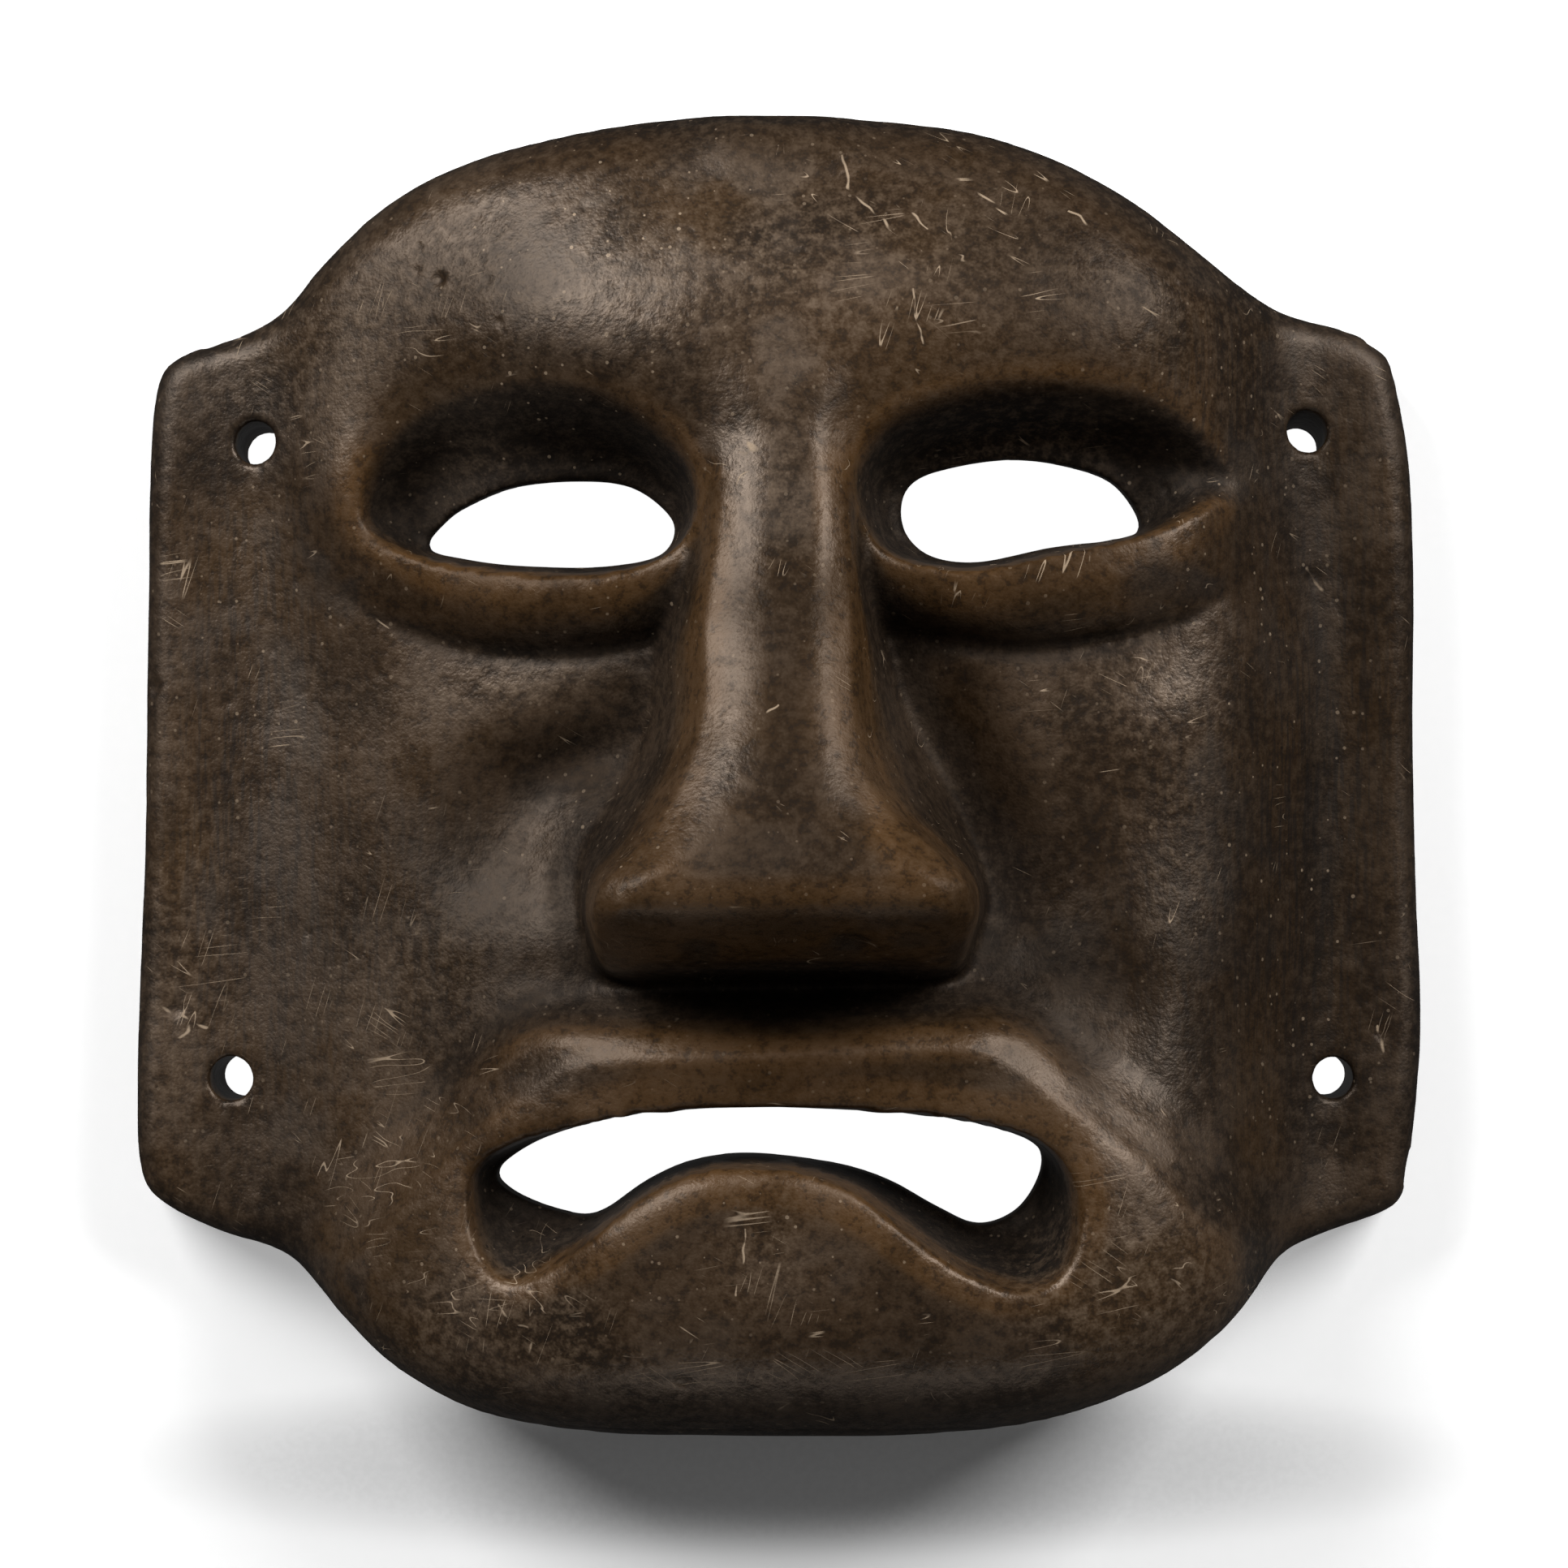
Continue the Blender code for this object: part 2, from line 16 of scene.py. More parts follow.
import bmesh
import bpy
import numpy as np
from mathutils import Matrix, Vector


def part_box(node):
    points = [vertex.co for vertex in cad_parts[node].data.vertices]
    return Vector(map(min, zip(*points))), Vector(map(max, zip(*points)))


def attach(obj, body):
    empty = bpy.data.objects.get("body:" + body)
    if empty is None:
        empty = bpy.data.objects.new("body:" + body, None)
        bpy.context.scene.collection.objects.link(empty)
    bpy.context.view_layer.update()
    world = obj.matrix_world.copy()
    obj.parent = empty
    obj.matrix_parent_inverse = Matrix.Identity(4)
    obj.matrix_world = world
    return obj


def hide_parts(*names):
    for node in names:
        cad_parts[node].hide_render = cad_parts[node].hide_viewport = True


Array = np.ndarray
Point = tuple[float, float]
Pairs = Sequence[tuple[float, float]]
Triple = tuple[float, float, float]
Colour = tuple[float, float, float, float]
Band = tuple[float, ...]
Socket = bpy.types.NodeSocket

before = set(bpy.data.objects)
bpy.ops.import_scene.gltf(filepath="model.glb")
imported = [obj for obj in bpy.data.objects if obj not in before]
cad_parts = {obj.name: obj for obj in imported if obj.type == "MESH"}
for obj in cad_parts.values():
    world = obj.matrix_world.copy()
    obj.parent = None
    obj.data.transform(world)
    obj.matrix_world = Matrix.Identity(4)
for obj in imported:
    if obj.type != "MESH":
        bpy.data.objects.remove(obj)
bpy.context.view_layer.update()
log = logging.getLogger("stone_mask")

MM = 0.001
STEPS_WIDE = 180.0
STEPS_HIGH = 182.0
STEPS_DEEP = 68.0


# Curves and distances

def ease(low: float, high: float, value: Array) -> Array:
    """Rise smoothly from 0 at low to 1 at high."""
    t = np.clip((value - low) / (high - low), 0, 1)
    return t * t * (3 - 2 * t)


def soft_max(a: Array, b: Array, blend: float) -> Array:
    """Join two heights by a fillet.

    Args:
        a: one height.
        b: the other height.
        blend: size of the fillet.

    Returns:
        The larger of the two heights.
    """
    h = np.clip(0.5 + 0.5 * (a - b) / blend, 0, 1)
    return b + (a - b) * h + blend * h * (1 - h)


def soft_min(a: Array, b: Array, blend: float) -> Array:
    """The smaller of two heights, with a fillet."""
    return -soft_max(-a, -b, blend)


def profile(value: Array, pairs: Pairs) -> Array:
    """Read a smooth profile.

    Args:
        value: places along the profile.
        pairs: places and the heights there, in order of place.

    Returns:
        The height at each place.
    """
    place, height = np.array(pairs, float).T
    slope = np.gradient(height, place)
    value = np.clip(value, place[0], place[-1])
    i = np.clip(np.searchsorted(place, value) - 1, 0, len(place) - 2)
    gap = place[i + 1] - place[i]
    t = (value - place[i]) / gap
    rise = t * t * (3 - 2 * t)
    return (height[i] * (1 - rise) + height[i + 1] * rise
            + gap * t * (1 - t) * (slope[i] * (1 - t) - slope[i + 1] * t))


@dataclass(frozen=True)
class Line:
    """A line of the carving, drawn smoothly through its points."""

    points: tuple[Point, ...]
    closed: bool = True
    curve_steps: int = 4

    @cached_property
    def drawn(self) -> Array:
        """Draw the smooth curve.

        Returns:
            More points, along the curve.
        """
        p = np.array(self.points, float)
        count, closed = len(p), self.closed
        t = np.arange(self.curve_steps)[:, None] / self.curve_steps
        pieces = []
        for i in range(count if closed else count - 1):
            b, c = p[i], p[(i + 1) % count]
            a = p[i - 1] if closed or i else 2 * b - c
            d = p[(i + 2) % count] if closed or i + 2 < count else 2 * c - b
            pieces.append(b + 0.5 * t * ((c - a) + t * ((2 * a - 5 * b + 4 * c - d)
                                                        + t * (3 * (b - c) + d - a))))
        line = np.concatenate(pieces)
        return line if closed else np.vstack([line, p[-1]])

    def nearest(self, x: Array, y: Array) -> tuple[Array, Array, Array]:
        """Measure how places lie to the line.

        Args:
            x: places across.
            y: places along.

        Returns:
            The distance, the side (1 is left of the line's travel) and the share of the way.
        """
        start = self.drawn
        end = np.roll(start, -1, 0) if self.closed else start[1:]
        start = start if self.closed else start[:-1]
        run = np.hypot(*(end - start).T)
        gone = np.concatenate([[0.0], np.cumsum(run)])
        best = np.full(x.shape, np.inf)
        side = np.ones(x.shape)
        share = np.zeros(x.shape)
        for i, ((ax, ay), (bx, by)) in enumerate(zip(start, end)):
            dx, dy = bx - ax, by - ay
            t = np.clip(((x - ax) * dx + (y - ay) * dy) / (run[i] ** 2 + 1e-12), 0, 1)
            ex, ey = x - ax - t * dx, y - ay - t * dy
            square = ex * ex + ey * ey
            near = square < best
            best = np.where(near, square, best)
            side = np.where(near, np.where(dx * ey - dy * ex >= 0, 1.0, -1.0), side)
            share = np.where(near, (gone[i] + t * run[i]) / gone[-1], share)
        return np.sqrt(best), side, share

    def holds(self, x: Array, y: Array) -> Array:
        """Tell which places lie inside the closed line.

        Args:
            x: places across.
            y: places along.

        Returns:
            True for each place inside.
        """
        start = self.drawn
        result = np.zeros(x.shape, bool)
        for (ax, ay), (bx, by) in zip(start, np.roll(start, -1, 0)):
            if ay != by:
                crosses = (ay > y) != (by > y)
                result ^= crosses & (x < (bx - ax) * (y - ay) / (by - ay) + ax)
        return result

    def depth(self, x: Array, y: Array) -> Array:
        """Distance to the closed line, positive inside it."""
        distance = self.nearest(x, y)[0]
        return np.where(self.holds(x, y), distance, -distance)


# Strokes of the chisel

@dataclass(frozen=True)
class Swell:
    """A soft oval swelling, or a hollow where the height is negative."""

    centre: Point
    radii: Point
    height: float
    turn: float = 0.0

    def shape(self, x: Array, y: Array) -> Array:
        """Work the swelling out.

        Args:
            x: places across.
            y: places along.

        Returns:
            Height of the swelling at each place.
        """
        c, s = math.cos(math.radians(self.turn)), math.sin(math.radians(self.turn))
        u = ((x - self.centre[0]) * c + (y - self.centre[1]) * s) / self.radii[0]
        v = ((y - self.centre[1]) * c - (x - self.centre[0]) * s) / self.radii[1]
        return self.height * np.exp(-(u * u + v * v))


@dataclass(frozen=True)
class Stroke:
    """A ridge along a line, with its height along it and its width on each side."""

    points: tuple[Point, ...]
    heights: tuple[float, ...]
    left: float
    right: float

    def shape(self, x: Array, y: Array) -> Array:
        """Work the ridge out.

        Args:
            x: places across.
            y: places along.

        Returns:
            Height of the ridge at each place.
        """
        distance, side, share = Line(self.points, False).nearest(x, y)
        height = np.interp(share, np.linspace(0, 1, len(self.heights)), self.heights)
        return height * np.exp(-(distance / np.where(side > 0, self.left, self.right)) ** 2)


@dataclass(frozen=True)
class Moulding:
    """A section swept along a line, with the share of it that shows along the way."""

    points: tuple[Point, ...]
    section: tuple[Point, ...]
    shares: tuple[float, ...]

    def shape(self, x: Array, y: Array) -> Array:
        """Work the moulding out.

        Args:
            x: places across.
            y: places along.

        Returns:
            Height of the moulding at each place.
        """
        distance, side, share = Line(self.points, False).nearest(x, y)
        strength = np.interp(share, np.linspace(0, 1, len(self.shares)), self.shares)
        return strength * profile(distance * side, self.section)


@dataclass(frozen=True)
class Opening:
    """A socket with a rounded rim that sinks to the edge of an opening through its floor."""

    name: str
    rim: Line
    cut: Line
    floor: float
    bow: float
    round: float
    dip: float = 0.5
    outer: Triple = (0.0, 1.0, 2.0)
    roof: Point | None = None
    roof_round: float = 2.6
    roof_slope: float = 0.35
    roof_reach: float = 0.86

    def sink(self, z: Array, x: Array, y: Array) -> Array:
        """Sink the face into the socket.

        Args:
            z: height of the face.
            x: places across.
            y: places along.

        Returns:
            The height with the socket in it.
        """
        roof = ease(*self.roof, y) if self.roof else np.zeros(x.shape)
        rim_round = self.round + self.roof_round * roof
        drop, start, end = self.outer
        floor = self.floor - drop * ease(start, end, np.abs(x))
        from_rim = self.rim.depth(x, y)
        to_cut = np.maximum(-self.cut.depth(x, y), 0)
        t = np.where(from_rim > 0, from_rim / (from_rim + to_cut + 1e-6), 0)
        wall = 1 - (1 - t) ** self.bow
        under = self.roof_slope * t + (1 - self.roof_slope) * ease(0, self.roof_reach, t)
        z = z + (floor - z) * (wall + (under - wall) * roof)
        return z - rim_round * self.dip * np.exp(np.minimum(from_rim, 0) / rim_round) * (1 - t)


@dataclass(frozen=True)
class Side:
    """One side of the nose: where its bevel starts and ends and where its flank stands."""

    way: float
    facet: Pairs
    bevel: Pairs
    foot: Pairs
    least_flank: float = 5.0
    rounding: float = 2.2

    def lower(self, x: Array, y: Array, crest: Array, ground: float, drop: float) -> Array:
        """Height of the side.

        Args:
            x: places across.
            y: places along.
            crest: height of the front facet.
            ground: height where the flank stands on the face.
            drop: how far the bevel falls.

        Returns:
            The height of bevel and flank, above the front facet where they don't reach.
        """
        out = x * self.way
        facet, bevel, foot = (profile(y, line) for line in (self.facet, self.bevel, self.foot))
        fall = drop * (out - facet) / (bevel - facet)
        flank = np.maximum(crest - drop - ground, self.least_flank)
        flank = flank * (out - bevel) / (foot - bevel)
        return soft_min(crest - fall, crest - drop - flank, self.rounding)


@dataclass(frozen=True)
class Nose:
    """A wedge with a front facet between bevels, which flares to a broad tip with wings."""

    ground: float = 33.0
    drop: float = 3.0
    edge_rounding: float = 1.3
    foot_rounding: float = 2.4
    crest: Pairs = ((-60, 0), (-32, 28), (-29, 35), (-26.4, 46), (-24, 55), (-21.6, 61.4),
                    (-19, 66), (-15.5, 68), (-11, 67), (-5, 64.2), (3, 60.4), (17, 54.6),
                    (33, 48.4), (45, 44.5), (56, 41), (66, 31))
    left: Side = Side(-1.0,
                      ((-30, 19), (-18, 21.5), (-14.4, 18.5), (-9.9, 12.3), (-5.3, 9), (2.6, 5.7),
                       (9.4, 4), (19.5, 2.9), (34.3, 3.5), (48, 4), (60, 8)),
                      ((-30, 22.4), (-24, 24), (-18, 24.8), (-14.4, 23.4), (-9.9, 18.8),
                       (-5.3, 15.6), (2.6, 11.9), (9.4, 10.4), (19.5, 10.4), (34.3, 8.8),
                       (48, 10), (60, 14)),
                      ((-30, 24.4), (-24, 26), (-17.5, 27.2), (-11, 26.2), (-5.5, 23), (0, 19.4),
                       (6, 17.2), (17, 16.2), (33, 13), (48, 15), (60, 22)))
    right: Side = Side(1.0,
                       ((-30, 20), (-18, 22.5), (-14.4, 20.5), (-9.9, 14.6), (-5.3, 8.6), (-3, 7.8),
                        (2.6, 6.9), (9.4, 6.1), (19.5, 5.4), (34.3, 6.3), (48, 6), (60, 9)),
                       ((-30, 23.2), (-24, 24.8), (-18, 25.8), (-14.4, 24.8), (-9.9, 20.3),
                        (-5.3, 15.3), (-3, 13.6), (2.6, 11.4), (9.4, 10.5), (19.5, 10.4),
                        (34.3, 9.8), (48, 10), (60, 14)),
                       ((-30, 25), (-24, 26.6), (-17.5, 28), (-15.6, 27.8), (-9.7, 25.1),
                        (-3.9, 22), (6.1, 16.9), (17.8, 14), (36, 11.4), (48, 13), (60, 22)))
    nostrils: tuple[Swell, ...] = (Swell((-10.7, -23.4), (3.0, 1.5), -2.6),
                                   Swell((9.4, -22.5), (3.0, 1.5), -2.6))

    def raise_from(self, z: Array, x: Array, y: Array) -> Array:
        """Raise the nose from the face.

        Args:
            z: height of the face.
            x: places across.
            y: places along.

        Returns:
            The height with the nose on it.
        """
        crest = profile(y, self.crest)
        sides = soft_min(self.left.lower(x, y, crest, self.ground, self.drop),
                         self.right.lower(x, y, crest, self.ground, self.drop), 1.0)
        z = soft_max(z, soft_min(sides, crest, self.edge_rounding), self.foot_rounding)
        return z + sum(nostril.shape(x, y) for nostril in self.nostrils)


LID = ((-24, 0), (-15, -0.4), (-8, -1.1), (-3, -2.0), (-1, -2.6), (-0.2, -3.2), (0.7, -2.2),
       (2, -0.4), (3.6, 0.9), (5.5, 1.7), (8, 2.0), (12, 0.8), (17, 0))
FLANK = ((-4, 0), (-1.5, 0.1), (0.5, 0.9), (3.5, 2.7), (6.4, 4.3), (7.6, 5.3), (9, 5.7), (14, 6.0))


@dataclass
class Face:
    """The carved face: block of the head, features, sockets and rounded outer edge."""

    width: float
    height: float
    relief: float
    plate: float = 13.0
    wall: float = 13.0
    rim_land: float = 0.010
    hollow_depth: float = 0.020
    hollow_run: float = 0.022
    hollow_half_width: float = 0.060
    hollow_corner: float = 0.010
    hollow_blend: float = 0.003
    no_hollow: float = -0.002
    edge_roll: float = 0.26
    ridge: Pairs = ((-95, 31), (-82, 38), (-66, 41.5), (-45, 40.5), (-25, 37), (-8, 33.2),
                    (10, 33), (25, 36), (45, 41), (57, 40.6), (70, 37), (82, 31), (95, 24))
    left: Pairs = ((-95, 0), (-84, 0), (-78, 0.02), (-72, 0.07), (-66, 0.18), (-60, 0.31),
                   (-52, 0.47), (-44, 0.62), (-36, 0.76), (-28, 0.87), (-15, 0.97), (0, 1))
    right: Pairs = ((0, 1), (28, 0.98), (38, 0.955), (46, 0.90), (53, 0.80), (59, 0.63),
                    (65, 0.33), (70, 0.11), (75, 0.03), (80, 0.01), (95, 0))
    wider: Pairs = ((-95, 2.4), (-60, 2.4), (-36, 2.4), (-20, 4.2), (-4, 5), (14, 5), (28, 2.4),
                    (42, 0), (95, 0))
    outline: Line = Line((
        (0, 91), (20.5, 89.8), (34, 86.6), (47.6, 79.8), (61.2, 69.8), (70.3, 64.5), (79.5, 62),
        (84, 59.5), (86, 56), (88.2, 44), (89, 28), (88.9, 2), (89.6, -20), (90, -33), (89.3, -46),
        (88.2, -56), (86, -60.8), (77, -64.2), (70.3, -67.2), (64.5, -73.4), (56.8, -80.1),
        (47.6, -85.2), (33, -89.5), (16, -90.9), (-7, -91), (-25, -90.7), (-41, -88.2),
        (-52.7, -82.4), (-60, -75.6), (-66.2, -69), (-71, -66.2), (-78, -64.2), (-86, -60.4),
        (-89.4, -56), (-90, -46), (-89.8, -32), (-88.9, -5), (-88.5, 22), (-88.2, 40),
        (-87.2, 53.5), (-84, 58.3), (-75, 61.4), (-69, 64.8), (-63.5, 71), (-55.4, 78.5),
        (-45.3, 84.2), (-34, 87.6), (-18, 90.3)))
    openings: tuple[Opening, ...] = (
        Opening("left_eye", Line((
            (-58.2, 35.5), (-57.6, 41.7), (-54.2, 47.6), (-47.6, 52.3), (-38.5, 54.8),
            (-29.5, 54.8), (-21.3, 52.2), (-15.2, 47.6), (-11.4, 41), (-11.8, 34.2), (-16, 29.6),
            (-25, 27.3), (-36.3, 27.7), (-47.6, 29.4), (-55.2, 32))), Line((
                (-48.9, 31.4), (-46.5, 35), (-43, 37.3), (-36, 39.8), (-27, 40.5), (-20.4, 39.6),
                (-15.8, 36.3), (-14.5, 33.5), (-16.6, 30.2), (-24, 28.6), (-34, 28.6),
                (-43, 29.6))), 24.0, 2.8, 1.0, 0.4, (7.5, 38, 51), (36, 50)),
        Opening("right_eye", Line((
            (10.4, 37.5), (10.9, 44), (14.8, 49), (22.7, 52.4), (33, 54.2), (44.3, 54),
            (54.3, 51.4), (61, 46.3), (64.2, 39.8), (58.4, 36.2), (50, 32.8), (37.4, 29.9),
            (28, 28.1), (21.3, 28.3), (14.3, 30.4))), Line((
                (16.8, 36), (17.8, 39.6), (21.8, 41.8), (31.2, 43.4), (39.7, 42.4), (46.8, 39.8),
                (50.3, 34.3), (46.3, 32.3), (37.4, 31.2), (27.8, 29.3), (21.5, 29.9),
                (18, 32.4))), 24.0, 2.6, 1.0, 0.4, (3.5, 42, 52), (36, 50)),
        Opening("mouth", Line((
            (-42.4, -57), (-41, -53.2), (-36.3, -50.4), (-29.5, -48.5), (-18, -46.1),
            (-1, -45.3), (16, -46), (27.2, -47.5), (35.2, -50), (39.4, -54.2), (40.9, -59.8),
            (40, -65.4), (37.4, -68.8), (33.2, -70.1), (27.2, -68.4), (21.5, -65.2),
            (15.8, -60.8), (10.2, -56.5), (3.4, -53.8), (-3.4, -52.9), (-10.2, -53.7),
            (-17, -56.5), (-23.8, -61.6), (-29.5, -66.3), (-35.8, -69.5), (-40, -67.4),
            (-42.2, -62.6))), Line((
                (-38.9, -55.3), (-35.5, -52), (-29.5, -49.3), (-18, -46.7), (-1, -46),
                (16, -46.7), (27.2, -48.1), (35.3, -51), (36.2, -55.2), (33, -60.4),
                (27.5, -62.4), (21.5, -59.8), (14.8, -56.2), (6.8, -53.7), (-3.4, -52.5),
                (-11.4, -53.4), (-18.1, -56.2), (-25.2, -60.8), (-30.6, -60.3),
                (-36.3, -58))), 27.0, 2.0, 1.6))
    muzzle: Line = Line((
        (-4, -30.5), (-27, -32), (-37, -36), (-46, -43.5), (-55, -51.5), (-62, -60), (-70, -74),
        (-70, -100), (72, -100), (72, -74), (67, -61), (62, -55), (54, -46.5), (43, -38.5),
        (33, -32), (24, -29.5)))
    brow_and_cheeks: tuple[Swell | Stroke | Moulding, ...] = (
        Swell((-2, 68), (44, 18), 1.6),
        Swell((-34, 61), (26, 10), 0.9, 4),
        Swell((38, 62), (28, 10), 1.0, -4),
        Moulding(((-65, 28), (-56, 22), (-46, 18), (-36, 16.4), (-25, 16.6), (-13, 19)),
                 LID, (0, 0.35, 0.8, 1, 1, 0.6)),
        Moulding(((10, 20), (22, 18.4), (33, 17), (46, 18.4), (57, 22), (68, 29)),
                 LID, (0.6, 1, 1, 1, 0.5, 0)),
        Swell((50, 7), (13, 9), 1.8, 8),
        Swell((-61, 40), (6, 12), 2.4),
        Swell((-27, 2), (12, 6.5), -5.5, 20),
        Swell((-37, -9), (10, 9), -3.0, 35),
        Stroke(((15, 14), (22, 3), (28, -9), (34, -20), (41, -31)), (-3, -5.5, -6, -4.5, -2), 9, 9),
        Swell((76, 0), (5, 44), -0.8))
    lips_and_chin: tuple[Swell | Stroke, ...] = (
        Stroke(((-44, -47), (-40, -41), (-33.5, -36), (-18, -36.3), (0, -37), (16, -35.8),
                (31, -35.4), (38.5, -41), (44, -49)),
               (0, 2.4, 3.0, 3.2, 3.2, 3.2, 3.0, 2.4, 0), 2.6, 4.6),
        Stroke(((-30, -69), (-20, -61), (-12, -56.6), (-3, -55), (6, -56), (15, -60),
                (27, -70)), (0, 1.2, 1.8, 2.2, 1.8, 1.2, 0), 3, 6),
        Swell((0, -28), (26, 3.6), -2.5),
        Swell((0, -74), (44, 12), 2.0))
    nose: Nose = field(default_factory=Nose)

    def block(self, x: Array, y: Array) -> Array:
        """Shape the broad block of the head, standing on the two flat side plates.

        Args:
            x: places across.
            y: places along.

        Returns:
            Height of the block, in steps.
        """
        right = profile(x - profile(y, self.wider), self.right)
        across = np.where(x < 0, profile(x, self.left), right)
        return self.plate + (profile(y, self.ridge) - self.plate) * across

    def steps(self, x: Array, y: Array) -> Array:
        """Carve the face.

        Args:
            x: places across, in steps.
            y: places along, in steps.

        Returns:
            Height of the whole face, in steps.
        """
        z = self.block(x, y)
        for form in self.brow_and_cheeks:
            z = z + form.shape(x, y)
        z = z + profile(self.muzzle.depth(x, y), FLANK)
        for form in self.lips_and_chin:
            z = z + form.shape(x, y)
        z = self.nose.raise_from(z, x, y)
        for opening in self.openings:
            z = opening.sink(z, x, y)
        radius = self.edge_roll * z
        roll = np.clip(1 - self.outline.depth(x, y) / radius, 0, 1)
        return z - radius * (1 - np.sqrt(np.maximum(1 - roll * roll, 0)))

    def to_steps(self, x: Array, y: Array) -> tuple[Array, Array]:
        """Places in metres, given in steps."""
        return x / self.width * STEPS_WIDE, y / self.height * STEPS_HIGH

    def to_metres(self, points: Array) -> Array:
        """Places in steps, given in metres."""
        return np.asarray(points, float) * (self.width / STEPS_WIDE, self.height / STEPS_HIGH)

    def front(self, x: Array, y: Array) -> Array:
        """Height of the face over the ground, in metres."""
        return self.steps(*self.to_steps(x, y)) * self.relief / STEPS_DEEP

    def back(self, x: Array, y: Array) -> Array:
        """Shape the hollow back.

        Args:
            x: places across, in metres.
            y: places along, in metres.

        Returns:
            Height of the hollow over the ground, below it where there is none.
        """
        sx, sy = self.to_steps(x, y)
        from_edge = self.outline.depth(sx, sy) * self.width / STEPS_WIDE - self.rim_land
        from_edge = soft_min(from_edge, self.hollow_half_width - np.abs(x),
                             self.hollow_corner)
        t = np.clip(from_edge / self.hollow_run, -1, 1)
        bowl = self.hollow_depth * np.sin(t * math.pi / 2)
        skin = (self.block(sx, sy) - self.wall) * self.relief / STEPS_DEEP
        return np.maximum(soft_min(bowl, skin, self.hollow_blend), self.no_hollow)


# Wear of the stone, and painted shade and sheen

def grain(places: Array, size: float, seed: int) -> Array:
    """Smooth noise in space.

    Args:
        places: one place per row, in metres.
        size: width of one bump, in metres.
        seed: number that picks the pattern.

    Returns:
        One value per place, from -1 to 1.
    """
    scaled = places / size + 1000.0
    corner = np.floor(scaled).astype(np.int64)
    part = scaled - corner
    part = part * part * (3 - 2 * part)
    total = np.zeros(len(places))
    for dx in (0, 1):
        for dy in (0, 1):
            for dz in (0, 1):
                h = ((corner[:, 0] + dx) * 374761393 + (corner[:, 1] + dy) * 668265263
                     + (corner[:, 2] + dz) * 1440662683 + seed * 974634777) & 0xFFFFFFFF
                h = ((h ^ (h >> 13)) * 1274126177) & 0xFFFFFFFF
                value = ((h ^ (h >> 16)) & 0xFFFF) / 32767.5 - 1
                weight = (np.where(dx, part[:, 0], 1 - part[:, 0])
                          * np.where(dy, part[:, 1], 1 - part[:, 1])
                          * np.where(dz, part[:, 2], 1 - part[:, 2]))
                total += value * weight
    return total


def layers(places: Array, size: float, octaves: int, seed: int) -> Array:
    """Add up finer and finer noise.

    Args:
        places: one place per row, in metres.
        size: width of the largest bumps, in metres.
        octaves: how many layers there are.
        seed: number that picks the pattern.

    Returns:
        One value per place, about 0.5 and mostly from 0.3 to 0.7.
    """
    total = sum(0.6 ** i * grain(places, size / 2 ** i, seed + i) for i in range(octaves))
    return 0.5 + 0.11 * (total - total.mean()) / total.std()


@dataclass(frozen=True)
class Region:
    """A soft oval region of the face where a kind of wear, painted shade or painted sheen shows."""

    across: float
    along: float
    wide: float
    high: float
    share: float = 1.0
    turn: float = 0.0

    def cover(self, x: Array, y: Array) -> Array:
        """Share of the wear at each place."""
        swell = Swell((self.across, self.along), (self.wide, self.high), self.share, self.turn)
        return swell.shape(x, y)


def covered(regions: Sequence[Region], x: Array, y: Array) -> Array:
    """Add up the regions of one kind of wear, painted shade or painted sheen.

    Args:
        regions: the regions.
        x: places across, in steps.
        y: places along, in steps.

    Returns:
        Share of the wear at each place, from 0 to 1.
    """
    total = np.zeros(x.shape)
    for region in regions:
        total += region.cover(x, y)
    return np.clip(total, 0, 1)


class Wear(Enum):
    """Kinds of wear, painted shade and painted sheen that the stone's finish reads from the mesh.
    """

    AMBER = "amber"
    SOOT = "soot"
    RUBBED_AND_SHEEN = "rubbed"
    SCORED = "scored"
    PITTED = "pitted"
    STREAKED = "streaked"
    CRUST_AND_PAINTED_SHADE = "crusted"
    CREST = "crest"
    SHADED = "shaded"


class Pattern(Enum):
    """Mottling that the stone's finish reads from the mesh."""

    BROAD = "broad"
    TINT = "tint"
    MOTTLE = "mottle"
    SCORES = "scores"
    SCORES_TWO = "scores_two"
    SCORES_THREE = "scores_three"


# Each row: width of the largest bumps, octaves, seed
PATTERN_ROWS: dict[Pattern, tuple[float, int, int]] = {
    Pattern.BROAD: (0.029, 3, 20),
    Pattern.TINT: (0.024, 3, 30),
    Pattern.MOTTLE: (0.0085, 4, 40),
    Pattern.SCORES: (0.0042, 2, 50),
    Pattern.SCORES_TWO: (0.0046, 2, 60),
    Pattern.SCORES_THREE: (0.0050, 2, 70),
}
SCORE_PATTERNS = (Pattern.SCORES, Pattern.SCORES_TWO, Pattern.SCORES_THREE)


